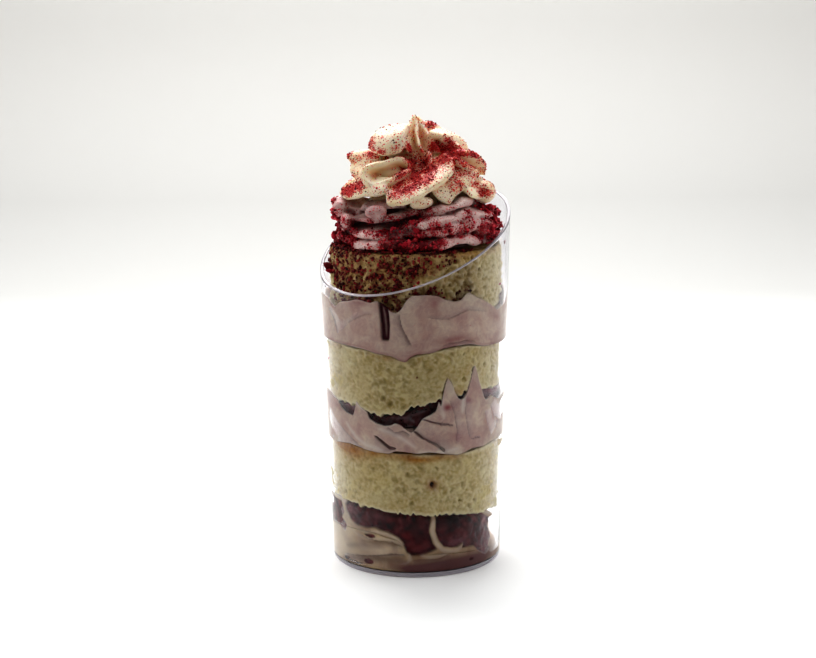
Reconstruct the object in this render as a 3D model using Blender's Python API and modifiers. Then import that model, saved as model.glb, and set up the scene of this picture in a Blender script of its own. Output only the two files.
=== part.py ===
"""Cake shooter: a slant-cut clear cup filled with discs of sponge, frosting and berry jam.

A mauve piped ring and a cream piped swirl stand on the top disc, dusted with dried berry crumbs.
Lengths are in metres and +Z is up. The origin is the centre of the cup's flat underside. An
azimuth is measured in degrees from the front of the cup (-Y), growing towards its right (+X).
"""

import math
import random

import bpy
from mathutils import Vector, noise

MM = 0.001
UP = Vector((0.0, 0.0, 1.0))
DOWN = -UP

# The cup, injection moulded in one piece with a slanting rim.
CUP_BASE_RADIUS = 25.0 * MM
CUP_DRAFT = 0.0294  # growth of the radius for each unit of height
CUP_WALL = 1.0 * MM
CUP_FLOOR = 1.6 * MM
CUP_BLANK_HEIGHT = 113.0 * MM  # before the rim is cut
CUP_FOOT_BEVEL = 0.6 * MM
RIM_HEIGHT = 95.0 * MM  # of the slanting rim, where it passes over the axis
RIM_SLOPE_X = 0.300  # the rim climbs to the right
RIM_SLOPE_Y = 0.379  # and to the back
CUP_SEGMENTS = 72

# Clearances between pieces that lie on each other.
GAP = 0.4 * MM
WALL_GAP = 0.3 * MM

# Mean heights of the faces between the layers.
SPONGE_LOWER_BASE = 18.4 * MM
SPONGE_LOWER_TOP = 36.3 * MM
FROSTING_MIDDLE_TOP = 43.6 * MM
SPONGE_MIDDLE_BASE = 50.6 * MM
SPONGE_MIDDLE_TOP = 66.6 * MM
SPONGE_TOP_BASE = 76.5 * MM
SPONGE_TOP_TOP = 93.8 * MM
PIPED_TOP = 105.0 * MM

# Frosting pressed up between a sponge and the wall.
SKIRT_THICKNESS = 2.0 * MM
SKIRT_CLEARANCE = 0.5 * MM
SKIRT_FADE = 1.5 * MM  # height over which the sponge above it comes out to the wall again

# The torn crumb on a sponge's side: depth and size of its crags.
CRAG_DEPTH = 0.7 * MM
CRAG_SIZE = 2.6 * MM
CRAG_INSET = 0.4 * MM  # keeps the crags' tips off the wall

LAYER_SEGMENTS = 54

# The piped frosting stands a little to the right of the cup's axis.
PIPING_SHIFT = 0.8 * MM

# Crumbs of dried berry that are large enough to see from a step away. Sizes are radii.
CRUMB_SMALLEST = 0.8 * MM
CRUMB_LARGEST = 1.5 * MM
CRUMB_SEAT = 0.15  # how far a crumb's centre stands off the surface, as a share of its radius
CRUMB_SPACING = 3.2 * MM
TOP_CRUMBS = 20
RING_CRUMBS = 22
SWIRL_CRUMBS = 16

# Voxels that melt piped ropes together, and the share of faces that is kept afterwards.
RING_VOXEL, RING_KEPT = 0.9 * MM, 0.078
SWIRL_VOXEL, SWIRL_KEPT = 0.8 * MM, 0.125

CUTTER_SIZE = 160.0 * MM  # larger than anything that is cut

# Peaks of frosting dragged up the wall, each as azimuth in degrees, height and half width in degrees.
MIDDLE_PEAKS = (
    (-78.0, 5.0 * MM, 18.0),
    (-40.0, 5.6 * MM, 5.0),
    (21.0, 8.4 * MM, 8.0),
    (40.0, 12.2 * MM, 8.0),
    (66.0, 3.0 * MM, 14.0),
    (112.0, 6.5 * MM, 9.0),
    (158.0, 4.6 * MM, 11.0),
    (-128.0, 5.4 * MM, 10.0),
)
UPPER_PEAKS = (
    (-33.0, 3.0 * MM, 20.0),
    (4.0, 4.4 * MM, 15.0),
    (36.0, 3.8 * MM, 10.0),
    (95.0, 3.6 * MM, 18.0),
    (150.0, 4.4 * MM, 14.0),
    (-150.0, 3.4 * MM, 16.0),
    (-100.0, 2.6 * MM, 14.0),
)

# Folds of cream, each from its root near the axis to its free end: azimuth in degrees, distance
# from the axis, height and half thickness in millimetres. They run outwards, down and to the left.
CREAM_FOLDS = (
    ((54.0, 11.0, 117.0, 3.2), (-19.0, 18.0, 109.0, 4.0)),  # the large one at the front
    ((34.0, 12.0, 110.0, 2.6), (2.0, 17.4, 107.2, 2.6)),
    ((104.0, 11.0, 117.0, 3.2), (32.0, 18.8, 108.0, 3.0)),
    ((144.0, 12.0, 115.0, 3.4), (66.0, 19.4, 109.2, 4.0)),
    ((124.0, 7.0, 120.4, 3.4), (72.0, 17.0, 116.4, 4.0)),
    ((60.0, 3.4, 126.8, 2.4), (90.0, 13.0, 120.8, 2.8)),
    ((12.0, 9.0, 114.0, 3.0), (-76.0, 19.0, 108.6, 3.0)),
    ((0.0, 8.0, 117.2, 2.8), (-56.0, 15.6, 115.2, 3.2)),
    ((-30.0, 7.0, 119.4, 3.2), (-92.0, 18.0, 118.0, 2.0)),
    ((-66.0, 2.0, 124.6, 3.4), (-108.0, 8.6, 121.2, 4.2)),
    ((-64.0, 11.0, 114.0, 3.2), (-124.0, 19.0, 108.6, 3.4)),
    ((-114.0, 11.0, 114.0, 3.2), (-172.0, 18.8, 108.8, 3.6)),
    ((-162.0, 11.0, 115.0, 3.2), (-222.0, 18.8, 109.0, 3.8)),
    ((-200.0, 12.0, 115.0, 3.2), (-264.0, 19.0, 109.2, 3.8)),
    ((-96.0, 6.0, 120.0, 3.2), (-158.0, 15.2, 116.2, 3.6)),
    ((-166.0, 6.0, 120.0, 3.2), (-232.0, 15.2, 116.4, 3.6)),
    ((-150.0, 2.0, 124.4, 3.0), (-214.0, 9.6, 121.4, 3.6)),
)
FOLD_ARCH = 1.6  # how far a fold's middle stands out and up, in millimetres
FOLD_SLANT = 0.6  # radians that a fold's flat side leans outwards
FOLD_ROOT = 2.4  # length of the root inside the swirl, as a multiple of the half thickness
FOLD_NOSE = 0.2  # share of a fold's length over which it rounds off
FOLD_NOSE_LOSS = 0.7  # of the square of its thickness, at its very end
SWIRL_TOP = 131.4 * MM

# The hollow inside the curled fold at the front left: centre, half sizes, and how it leans.
CURL_CENTRE = (-9.5 * MM, -17.2 * MM, 115.4 * MM)
CURL_HALF_SIZES = (4.2 * MM, 3.0 * MM, 1.5 * MM)
CURL_LEAN = (0.0, math.radians(-14.0), math.radians(-20.0))


def cup_inner_radius(z):
    """Inner radius of the cup at height z."""
    return CUP_BASE_RADIUS - CUP_WALL + CUP_DRAFT * z


def azimuth_of(x, y):
    """Azimuth of a point in degrees, 0 at the front and positive to the right."""
    return math.degrees(math.atan2(x, -y))


def turn_between(a, b):
    """Smallest turn in degrees from azimuth a to azimuth b."""
    return (b - a + 180.0) % 360.0 - 180.0


def smooth_step(share):
    share = min(max(share, 0.0), 1.0)
    return share * share * (3.0 - 2.0 * share)


def wave(azimuth, turns, phase):
    """A ripple with a whole number of waves round the cup."""
    return math.sin(math.radians(turns * azimuth + phase))


def peaks_at(azimuth, peaks):
    """Height of the tallest peak at this azimuth: pointed at its top and spreading at its foot."""
    height = 0.0
    for centre, tall, half_width in peaks:
        share = max(1.0 - abs(turn_between(azimuth, centre)) / (2.0 * half_width), 0.0)
        height = max(height, tall * share**1.8)
    return height


# Heights of the layers' faces, as functions of azimuth. They lean and ripple as the layers do.


def sponge_lower_base(azimuth):
    return SPONGE_LOWER_BASE - 2.4 * MM * wave(azimuth, 1, 0)


def sponge_lower_top(azimuth):
    return SPONGE_LOWER_TOP - 0.6 * MM * wave(azimuth, 1, 0) + 0.4 * MM * wave(azimuth, 2, -90)


def sponge_middle_base(azimuth):
    bulge = smooth_step(1.0 - abs(turn_between(azimuth, -20.0)) / 40.0)
    return SPONGE_MIDDLE_BASE + 2.8 * MM * wave(azimuth, 1, 0) - 1.8 * MM * bulge


def sponge_middle_top(azimuth):
    return SPONGE_MIDDLE_TOP + 0.7 * MM * wave(azimuth, 3, -20)


def sponge_top_base(azimuth):
    return SPONGE_TOP_BASE + 0.6 * MM * wave(azimuth, 2, 30)


def jam_lower_base(azimuth):
    """The jam of the bottom layer is shallow at the left and nearly reaches the floor at the right."""
    return 9.0 * MM - 4.2 * MM * wave(azimuth, 1, 18) + 1.0 * MM * wave(azimuth, 3, 40)


def middle_skirt(azimuth):
    """Top edge of the middle frosting, where it is pressed up the wall."""
    dip = 47.0 * MM - 3.4 * MM * wave(azimuth, 1, 98) + 1.6 * MM * wave(azimuth, 1, 0)
    return dip + peaks_at(azimuth, MIDDLE_PEAKS)


def upper_skirt(azimuth):
    return 77.6 * MM + peaks_at(azimuth, UPPER_PEAKS)


def filling_radius(azimuth, z):
    """A filling that is pressed against the wall."""
    return cup_inner_radius(z) - WALL_GAP


def jam_radius(azimuth, z):
    return cup_inner_radius(z) - WALL_GAP - SKIRT_THICKNESS - SKIRT_CLEARANCE


def jam_lower_radius(azimuth, z):
    """It draws back from the wall at the right."""
    drawn_back = 1.7 * MM * smooth_step(1.0 - abs(turn_between(azimuth, 90.0)) / 55.0)
    return cup_inner_radius(z) - WALL_GAP - drawn_back


def behind_skirt(skirt, z):
    """How far a sponge is drawn back from the wall by the skirt of frosting in front of it."""
    return (SKIRT_THICKNESS + SKIRT_CLEARANCE) * smooth_step((skirt + 2.0 * SKIRT_FADE - z) / SKIRT_FADE)


def crags(azimuth, z, depth, size, seed):
    """Depth of the torn crumb at a place on a sponge's side."""
    angle = math.radians(azimuth)
    place = Vector((math.sin(angle), -math.cos(angle), 0.0)) * CUP_BASE_RADIUS
    place.z = z
    return depth * (noise.noise(place / size + Vector((seed, 0.0, 0.0))) - 0.5)


def sponge_lower_radius(azimuth, z):
    relief = crags(azimuth, z, CRAG_DEPTH, CRAG_SIZE, 3.0)
    return cup_inner_radius(z) - WALL_GAP - CRAG_INSET + relief


def sponge_middle_radius(azimuth, z):
    """It leaves a small gap at the right, where no skirt stands in front of it."""
    clear = behind_skirt(middle_skirt(azimuth), z)
    bare = 1.0 - clear / (SKIRT_THICKNESS + SKIRT_CLEARANCE)
    right_gap = 0.9 * MM * bare * smooth_step(1.0 - abs(turn_between(azimuth, 90.0)) / 60.0)
    relief = crags(azimuth, z, CRAG_DEPTH, CRAG_SIZE, 11.0)
    return cup_inner_radius(z) - WALL_GAP - CRAG_INSET - clear - right_gap + relief


def sponge_top_radius(azimuth, z):
    """The top disc is cut smaller than the cup and leans to its right side."""
    clear = behind_skirt(upper_skirt(azimuth), z)
    cut = 25.0 * MM + 0.5 * MM * wave(azimuth, 1, 0)
    relief = crags(azimuth, z, 2.0 * CRAG_DEPTH, 3.4 * MM, 23.0)
    return min(cut, cup_inner_radius(z) - WALL_GAP - clear - 0.7 * MM) + relief


def new_object(name, mesh):
    obj = bpy.data.objects.new(name, mesh)
    collection("cake_shooter").objects.link(obj)
    return obj


def collection(name):
    found = bpy.data.collections.get(name)
    if found is None:
        found = bpy.data.collections.new(name)
        bpy.context.scene.collection.children.link(found)
    return found


def material(name, colour, roughness, metallic=0.0, alpha=1.0):
    """A Principled material with the colour given as a linear red, green and blue."""
    made = bpy.data.materials.new(name)
    made.use_nodes = True
    shader = made.node_tree.nodes["Principled BSDF"]
    shader.inputs["Base Color"].default_value = (*colour, 1.0)
    shader.inputs["Roughness"].default_value = roughness
    shader.inputs["Metallic"].default_value = metallic
    shader.inputs["Alpha"].default_value = alpha
    return made


def apply_modifiers(obj):
    """Makes the evaluated mesh the object's own and drops its modifiers."""
    bpy.context.view_layer.update()
    graph = bpy.context.evaluated_depsgraph_get()
    mesh = bpy.data.meshes.new_from_object(obj.evaluated_get(graph))
    name = obj.name
    if obj.type == "MESH":
        obj.modifiers.clear()
        obj.data = mesh
        return obj
    made = bpy.data.objects.new(name + "_mesh", mesh)
    made.matrix_world = obj.matrix_world
    obj.users_collection[0].objects.link(made)
    bpy.data.objects.remove(obj)
    made.name = name
    return made


def turned(name, profile, steps):
    """Turns a profile of (radius, height) points once round the Z axis."""
    mesh = bpy.data.meshes.new(name)
    points = [(radius, 0.0, height) for radius, height in profile]
    edges = [(i, i + 1) for i in range(len(points) - 1)]
    mesh.from_pydata(points, edges, [])
    obj = new_object(name, mesh)
    screw = obj.modifiers.new("Turn", "SCREW")
    screw.angle = math.tau
    screw.steps = screw.render_steps = steps
    screw.use_merge_vertices = True
    screw.merge_threshold = 0.00002
    return apply_modifiers(obj)


def layer(name, look, base, top, radius, skirt=None, segments=LAYER_SEGMENTS, tiers=5):
    """A disc between two uneven faces.

    It is first turned as a unit disc and then fitted: a point at share s of the radius and share t
    of the height goes to its place between the faces. With a skirt, a thin lip rises at the rim.
    """
    rings = (0.0, 0.4, 0.72, 0.92)
    lip_foot, lip_top = 0.918, 0.945
    faces_in = [(s, 0.0) for s in rings]
    sides = [(1.0, 1.0 - i / tiers) for i in range(tiers + 1)]
    if skirt:
        over = [(0.0, 1.0), (0.45, 1.0), (0.8, 1.0), (lip_foot, 1.0), (lip_top, 1.0)]
    else:
        over = [(s, 1.0) for s in rings]
    profile = over + sides + faces_in[::-1]
    obj = turned(name, profile, segments)

    for vertex in obj.data.vertices:
        x, y, t = vertex.co
        s = math.hypot(x, y)
        azimuth = azimuth_of(x, y)
        low = flattened(base, azimuth, s)
        high = flattened(top, azimuth, s)
        if skirt and s > lip_foot + 0.01:
            high = skirt(azimuth)
        z = low + t * (high - low)
        r = s * radius(azimuth, z)
        angle = math.radians(azimuth)
        vertex.co = (r * math.sin(angle), -r * math.cos(angle), z)
    obj.data.materials.append(look)
    return obj


def flattened(face, azimuth, s):
    """A face's height: what it has at the rim fades to its mean height at the axis."""
    mean = (face(azimuth) + face(azimuth + 180.0)) / 2.0
    across = (face(azimuth + 90.0) + face(azimuth - 90.0)) / 2.0
    centre = (mean + across) / 2.0
    fade = min(s / 0.92, 1.0)
    return centre + (face(azimuth) - centre) * fade


def raised(face, by):
    """The same face, a little higher."""
    return lambda azimuth: face(azimuth) + by


def level(height):
    """A level face."""
    return lambda azimuth: height


def kept_as_cutter(obj):
    """Moves an object to the cutters, out of the render."""
    for owner in obj.users_collection:
        owner.objects.unlink(obj)
    collection("cutters").objects.link(obj)
    obj.hide_render = True
    obj.display_type = "WIRE"
    return obj


def cutter_box(name, height, normal):
    """A large box with one face through the axis at this height, and the rest of it along normal."""
    centre = Vector((0.0, 0.0, height)) + normal * CUTTER_SIZE / 2.0
    bpy.ops.mesh.primitive_cube_add(size=CUTTER_SIZE, location=centre)
    box = bpy.context.object
    box.name = name
    box.rotation_mode = "QUATERNION"
    box.rotation_quaternion = normal.to_track_quat("Z", "Y")
    return kept_as_cutter(box)


def cut_away(obj, cutter):
    """Cuts the cutter's space from the object."""
    cut = obj.modifiers.new("Cut", "BOOLEAN")
    cut.operation = "DIFFERENCE"
    cut.object = cutter
    return apply_modifiers(obj)


def make_cup(look):
    """The wall and floor as one turned shell, cut along the slanting rim."""
    inner_floor = cup_inner_radius(CUP_FLOOR)
    corner = 1.2 * MM
    profile = [
        (0.0, CUP_FLOOR),
        (inner_floor - corner, CUP_FLOOR),
        (inner_floor, CUP_FLOOR + 0.35 * corner),
        (cup_inner_radius(CUP_BLANK_HEIGHT), CUP_BLANK_HEIGHT),
        (cup_inner_radius(CUP_BLANK_HEIGHT) + CUP_WALL, CUP_BLANK_HEIGHT),
        (CUP_BASE_RADIUS, CUP_FOOT_BEVEL),
        (CUP_BASE_RADIUS - CUP_FOOT_BEVEL, 0.0),
        (0.0, 0.0),
    ]
    cup = turned("cup", profile, CUP_SEGMENTS)
    normal = Vector((-RIM_SLOPE_X, -RIM_SLOPE_Y, 1.0)).normalized()
    cup = cut_away(cup, cutter_box("rim_cutter", RIM_HEIGHT, normal))
    cup.data.materials.append(look)
    return cup


def star_outline(name, points, depth, sides_per_point):
    """The opening of a piping nozzle: a star of radius 1 with sharp ridges and rounded hollows."""
    curve = bpy.data.curves.new(name, "CURVE")
    spline = curve.splines.new("POLY")
    count = points * sides_per_point
    spline.points.add(count - 1)
    for i, point in enumerate(spline.points):
        turn = math.tau * i / count
        radius = 1.0 - depth * abs(math.sin(points * turn / 2.0)) ** 1.1
        point.co = (radius * math.cos(turn), radius * math.sin(turn), 0.0, 1.0)
    spline.use_cyclic_u = True
    return kept_as_cutter(bpy.data.objects.new(name, curve))


def fold_outline(name, sides):
    """A fold's section: a full lip at its outer side and a long root that reaches into the core."""
    curve = bpy.data.curves.new(name, "CURVE")
    spline = curve.splines.new("POLY")
    spline.points.add(sides - 1)
    for i, point in enumerate(spline.points):
        turn = math.tau * i / sides
        reach = math.cos(turn) if math.cos(turn) < 0.0 else FOLD_ROOT * math.cos(turn)
        point.co = (reach, math.sin(turn), 0.0, 1.0)
    spline.use_cyclic_u = True
    return kept_as_cutter(bpy.data.objects.new(name, curve))


def piped_rope(name, outline, stations):
    """A rope of frosting through stations of (angle, path radius, height, half thickness, twist)."""
    curve = bpy.data.curves.new(name, "CURVE")
    curve.dimensions = "3D"
    curve.twist_mode = "Z_UP"
    curve.bevel_mode = "OBJECT"
    curve.bevel_object = outline
    curve.use_fill_caps = True
    spline = curve.splines.new("POLY")
    spline.points.add(len(stations) - 1)
    for point, (angle, path_radius, height, thickness, twist) in zip(spline.points, stations):
        x = path_radius * math.cos(angle) + PIPING_SHIFT
        point.co = (x, path_radius * math.sin(angle), height, 1.0)
        point.radius = thickness
        point.tilt = twist
    obj = bpy.data.objects.new(name, curve)
    collection("cake_shooter").objects.link(obj)
    return apply_modifiers(obj)


def between(values, share):
    """Reads a list of evenly spaced values at a share of its length, on a smooth line."""
    place = share * (len(values) - 1)
    i = min(int(place), len(values) - 2)
    return values[i] + (values[i + 1] - values[i]) * smooth_mix(place - i)


def smooth_mix(share):
    return 0.5 * share + 0.5 * smooth_step(share)


def rope_stations(turns, start, path_radii, heights, thicknesses, twist_per_turn, steps_per_turn):
    """Stations along a spiral that rises to the right, as seen from the front.

    Each list of values is spread evenly over the whole rope.
    """
    count = int(turns * steps_per_turn) + 1
    stations = []
    for i in range(count):
        share = i / (count - 1)
        stations.append(
            (
                math.radians(start) + math.tau * turns * share,
                between(path_radii, share),
                between(heights, share),
                between(thicknesses, share),
                math.tau * twist_per_turn * turns * share,
            )
        )
    return stations


def fold_stations(root, end, steps=8):
    """Stations from a fold's root to its free end, arched a little on the way."""
    stations = []
    for i in range(steps + 1):
        share = i / steps
        azimuth, reach, height, size = (a + (b - a) * share for a, b in zip(root, end))
        spread = math.sin(math.pi * share)
        reach += FOLD_ARCH * spread * abs(end[0] - root[0]) / 90.0
        height += FOLD_ARCH * spread
        near_end = max(share - 1.0 + FOLD_NOSE, 0.0) / FOLD_NOSE
        blunt = math.sqrt(1.0 - near_end * FOLD_NOSE_LOSS)
        stations.append(
            (math.radians(azimuth - 90.0), reach * MM, height * MM, size * blunt * MM, FOLD_SLANT)
        )
    return stations


def melt_together(obj, voxel, ratio):
    """Joins the turns of a rope that lie on each other into one body with fewer faces."""
    remesh = obj.modifiers.new("Melt", "REMESH")
    remesh.mode = "VOXEL"
    remesh.voxel_size = voxel
    thin = obj.modifiers.new("Thin", "DECIMATE")
    thin.ratio = ratio
    return apply_modifiers(obj)


def joined(pieces):
    """Puts the meshes of several pieces into the first one's, which lies at the origin."""
    bpy.ops.object.select_all(action="DESELECT")
    for piece in pieces:
        piece.select_set(True)
    bpy.context.view_layer.objects.active = pieces[0]
    bpy.ops.object.join()
    return pieces[0]


def core(radius, top_radius, low, high):
    """A plain cone or cylinder inside the piping, so that no hollow is left in it."""
    bpy.ops.mesh.primitive_cone_add(
        vertices=32,
        radius1=radius,
        radius2=top_radius,
        depth=high - low,
        location=(PIPING_SHIFT, 0.0, (low + high) / 2.0),
    )
    return bpy.context.object


def make_piped_ring(look):
    """Thin turns of mauve frosting on the top disc, with low ridges along the rope."""
    star = star_outline("ring_nozzle", 6, 0.22, 5)
    stations = rope_stations(
        turns=3.4,
        start=-130.0,
        path_radii=[21.4 * MM, 21.8 * MM, 21.0 * MM, 20.0 * MM, 19.6 * MM, 20.6 * MM, 19.6 * MM],
        heights=[96.0 * MM, 96.8 * MM, 98.2 * MM, 100.0 * MM, 101.8 * MM, 103.4 * MM, 104.4 * MM],
        thicknesses=[2.6 * MM, 3.2 * MM, 2.9 * MM, 2.8 * MM, 2.9 * MM, 3.1 * MM, 2.0 * MM],
        twist_per_turn=-0.3,
        steps_per_turn=26,
    )
    ring = piped_rope("piped_ring", star, stations)
    ring = joined([ring, core(21.0 * MM, 19.0 * MM, SPONGE_TOP_TOP - 1.0 * MM, PIPED_TOP + 1.5 * MM)])
    ring = melt_together(ring, RING_VOXEL, RING_KEPT)
    below = cutter_box("ring_base_cutter", SPONGE_TOP_TOP + GAP, DOWN)
    above = cutter_box("ring_top_cutter", PIPED_TOP, UP)
    ring = cut_away(cut_away(ring, below), above)
    low, high = SPONGE_TOP_TOP + 2.5 * MM, PIPED_TOP - 2.5 * MM
    ring = fuse_crumbs(ring, RING_CRUMBS, 5, low, high, sideways)
    return finished(ring, look)


def make_cream_swirl(look):
    """Folds of cream round a core, one over the other, up to a pulled tip."""
    outline = fold_outline("fold_nozzle", 14)
    folds = [
        piped_rope(f"fold_{i}", outline, fold_stations(root, end))
        for i, (root, end) in enumerate(CREAM_FOLDS)
    ]
    base = core(16.0 * MM, 11.0 * MM, PIPED_TOP - 1.0 * MM, 117.0 * MM)
    crown = core(10.0 * MM, 5.0 * MM, 116.0 * MM, 124.0 * MM)
    tip = core(6.4 * MM, 0.5 * MM, 119.0 * MM, SWIRL_TOP)
    swirl = joined(folds + [base, crown, tip])
    swirl.name = "cream_swirl"
    swirl = cut_away(melt_together(swirl, SWIRL_VOXEL, SWIRL_KEPT), curl_hollow())
    swirl = cut_away(swirl, cutter_box("swirl_cutter", PIPED_TOP + GAP, DOWN))
    low, high = PIPED_TOP + 3.0 * MM, SWIRL_TOP - 4.4 * MM
    swirl = fuse_crumbs(swirl, SWIRL_CRUMBS, 9, low, high, upwards)
    return finished(swirl, look)


def curl_hollow():
    """The space inside the curled fold, as a pressed ball."""
    bpy.ops.mesh.primitive_uv_sphere_add(
        segments=16, ring_count=8, radius=1.0, location=CURL_CENTRE, rotation=CURL_LEAN
    )
    hollow = bpy.context.object
    hollow.name = "curl_cutter"
    hollow.scale = CURL_HALF_SIZES
    return kept_as_cutter(hollow)


def make_sponge_top(look):
    """The top disc shows above the rim at the front left, where it is thick with crumbs."""
    top = layer("sponge_top", look, sponge_top_base, level(SPONGE_TOP_TOP), sponge_top_radius)
    low, high = SPONGE_TOP_BASE + 7.0 * MM, SPONGE_TOP_TOP - 2.4 * MM
    top = fuse_crumbs(top, TOP_CRUMBS, 12, low, high, above_rim)
    return finished(top, look)


def sideways(face):
    """True on the sides of the ring and not on its flat top or underside."""
    return abs(face.normal.z) < 0.9


def upwards(face):
    """True where a falling crumb would stay."""
    return face.normal.z > 0.15


def above_rim(face):
    """True on the side of the top disc where the low front of the rim leaves it bare."""
    rim = RIM_HEIGHT + RIM_SLOPE_X * face.center.x + RIM_SLOPE_Y * face.center.y
    return abs(face.normal.z) < 0.6 and face.center.z > rim + CRUMB_LARGEST


def crumb(name, place, outward, size, chance):
    """One broken crumb: a low-sided ball, pressed flatter and turned at random."""
    bpy.ops.mesh.primitive_ico_sphere_add(subdivisions=1, radius=1.0)
    obj = bpy.context.object
    obj.name = name
    obj.scale = [size * chance.uniform(0.75, 1.15) for _ in range(3)]
    obj.rotation_euler = [chance.uniform(0.0, math.tau) for _ in range(3)]
    obj.location = place + outward * size * CRUMB_SEAT
    return obj


def fuse_crumbs(obj, count, seed, low, high, allowed):
    """Joins crumbs to the faces of a solid that lie between two heights and that are allowed."""
    chance = random.Random(seed)
    group = collection(obj.name + "_crumbs")
    faces = [f for f in obj.data.polygons if low < f.center.z < high and allowed(f)]
    weights = [f.area for f in faces]
    places = []
    for face in chance.choices(faces, weights, k=count * 12):
        corner = obj.data.vertices[chance.choice(list(face.vertices))].co
        place = face.center.lerp(corner, chance.uniform(0.0, 0.9))
        if all((place - other).length > CRUMB_SPACING for other in places):
            places.append(place)
            size = chance.uniform(CRUMB_SMALLEST, CRUMB_LARGEST)
            piece = crumb(f"crumb_{len(places)}", place, face.normal.copy(), size, chance)
            piece.users_collection[0].objects.unlink(piece)
            group.objects.link(piece)
        if len(places) == count:
            break
    join = obj.modifiers.new("Join", "BOOLEAN")
    join.operation = "UNION"
    join.operand_type = "COLLECTION"
    join.collection = group
    obj = apply_modifiers(obj)
    for piece in list(group.objects):
        bpy.data.objects.remove(piece)
    bpy.data.collections.remove(group)
    return obj


def finished(obj, look):
    """One look all over."""
    obj.data.materials.clear()
    obj.data.materials.append(look)
    return obj


def clear_scene():
    for obj in list(bpy.data.objects):
        bpy.data.objects.remove(obj)


def main():
    clear_scene()
    clear_plastic = material("clear_polystyrene", (0.90, 0.90, 0.92), 0.05, alpha=0.25)
    sponge = material("vanilla_sponge", (0.62, 0.52, 0.27), 0.9)
    mauve = material("mauve_frosting", (0.48, 0.30, 0.29), 0.5)
    jam = material("berry_jam", (0.09, 0.012, 0.018), 0.25)
    cream = material("cream_frosting", (0.88, 0.78, 0.58), 0.5)

    make_cup(clear_plastic)
    layer(
        "frosting_bottom",
        mauve,
        level(CUP_FLOOR + GAP),
        raised(jam_lower_base, -GAP),
        filling_radius,
    )
    layer("jam_bottom", jam, jam_lower_base, raised(sponge_lower_base, -GAP), jam_lower_radius)
    layer("sponge_lower", sponge, sponge_lower_base, sponge_lower_top, sponge_lower_radius)
    layer(
        "frosting_middle",
        mauve,
        raised(sponge_lower_top, GAP),
        level(FROSTING_MIDDLE_TOP),
        filling_radius,
        skirt=middle_skirt,
        segments=96,
    )
    layer(
        "jam_middle",
        jam,
        level(FROSTING_MIDDLE_TOP + GAP),
        raised(sponge_middle_base, -GAP),
        jam_radius,
        tiers=3,
    )
    layer("sponge_middle", sponge, sponge_middle_base, sponge_middle_top, sponge_middle_radius)
    layer(
        "frosting_upper",
        mauve,
        raised(sponge_middle_top, GAP),
        raised(sponge_top_base, -GAP),
        filling_radius,
        skirt=upper_skirt,
        segments=72,
    )
    make_sponge_top(sponge)
    make_piped_ring(mauve)
    make_cream_swirl(cream)


main()
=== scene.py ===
"""Dresses the cake shooter: a slant-cut clear cup of sponge, mauve frosting and berry jam, topped
with a piped ring and a cream swirl that are dusted with crushed dried berries.

Lengths are in metres. In the tables, and where a name or a comment says so, they are in
millimetres. An azimuth is in degrees from the front of the cup (-Y), growing towards its right
(+X). The origin is the centre of the cup's flat underside.
"""

import functools
import math

import bpy
import numpy as np
from mathutils import Matrix, Vector, noise


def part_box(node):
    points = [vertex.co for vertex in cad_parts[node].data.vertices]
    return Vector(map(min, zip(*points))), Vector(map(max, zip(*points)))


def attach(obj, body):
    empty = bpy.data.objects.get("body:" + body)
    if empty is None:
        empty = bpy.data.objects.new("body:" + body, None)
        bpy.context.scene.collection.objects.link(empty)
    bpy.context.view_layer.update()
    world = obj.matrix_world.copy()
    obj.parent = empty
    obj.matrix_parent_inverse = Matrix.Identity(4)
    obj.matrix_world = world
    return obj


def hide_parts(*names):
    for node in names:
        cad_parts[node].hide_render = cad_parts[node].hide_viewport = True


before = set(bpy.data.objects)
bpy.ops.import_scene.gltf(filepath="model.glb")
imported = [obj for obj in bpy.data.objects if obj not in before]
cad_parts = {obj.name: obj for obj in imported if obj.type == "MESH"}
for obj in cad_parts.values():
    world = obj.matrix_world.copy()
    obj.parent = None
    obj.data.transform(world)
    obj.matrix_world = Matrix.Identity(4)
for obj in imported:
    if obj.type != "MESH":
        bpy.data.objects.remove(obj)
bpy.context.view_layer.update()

MM = 0.001

# The cup, as the frame has it.
CUP_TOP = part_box("cup")[1][2]
FOOT_RADIUS = 25.0 * MM
DRAFT = 0.0294  # growth of the radius for each unit of height
WALL = 1.0 * MM
FLOOR = 1.6 * MM
RIM_HEIGHT, RIM_SLOPE_X, RIM_SLOPE_Y = 95.0 * MM, 0.300, 0.379
BITE = 0.12 * MM  # how far the food that fills the cup reaches into its wall

PIPING_SHIFT_MM = 0.8  # the piped frosting stands a little to the right of the cup's axis


# ---------------------------------------------------------------- small tools


def choose(*objs):
    """Selects these objects alone, in object mode, and makes the first one active."""
    if bpy.context.object and bpy.context.object.mode != "OBJECT":
        bpy.ops.object.mode_set(mode="OBJECT")
    bpy.ops.object.select_all(action="DESELECT")
    if objs:
        bpy.context.view_layer.objects.active = objs[0]
    for obj in objs:
        obj.select_set(True)


def edit(obj, kind="VERT", action="SELECT"):
    """Opens a mesh for editing, with all of it or none of it selected."""
    choose(obj)
    bpy.ops.object.mode_set(mode="EDIT")
    bpy.ops.mesh.select_mode(type=kind)
    bpy.ops.mesh.select_all(action=action)


def done(outwards=False):
    """Closes the mesh that is being edited, and first turns all its faces outwards if asked."""
    if outwards:
        bpy.ops.mesh.select_all(action="SELECT")
        bpy.ops.mesh.normals_make_consistent(inside=False)
    bpy.ops.object.mode_set(mode="OBJECT")
    return bpy.context.object


def basic(add_shape, **values):
    """Adds a basic shape, with its place, turn and size applied."""
    choose()
    add_shape(**values)
    bpy.ops.object.transform_apply(location=True, rotation=True, scale=True)
    return bpy.context.object


def apply_all(obj):
    """Applies the modifiers in their order."""
    choose(obj)
    for modifier in list(obj.modifiers):
        bpy.ops.object.modifier_apply(modifier=modifier.name)
    return obj


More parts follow.
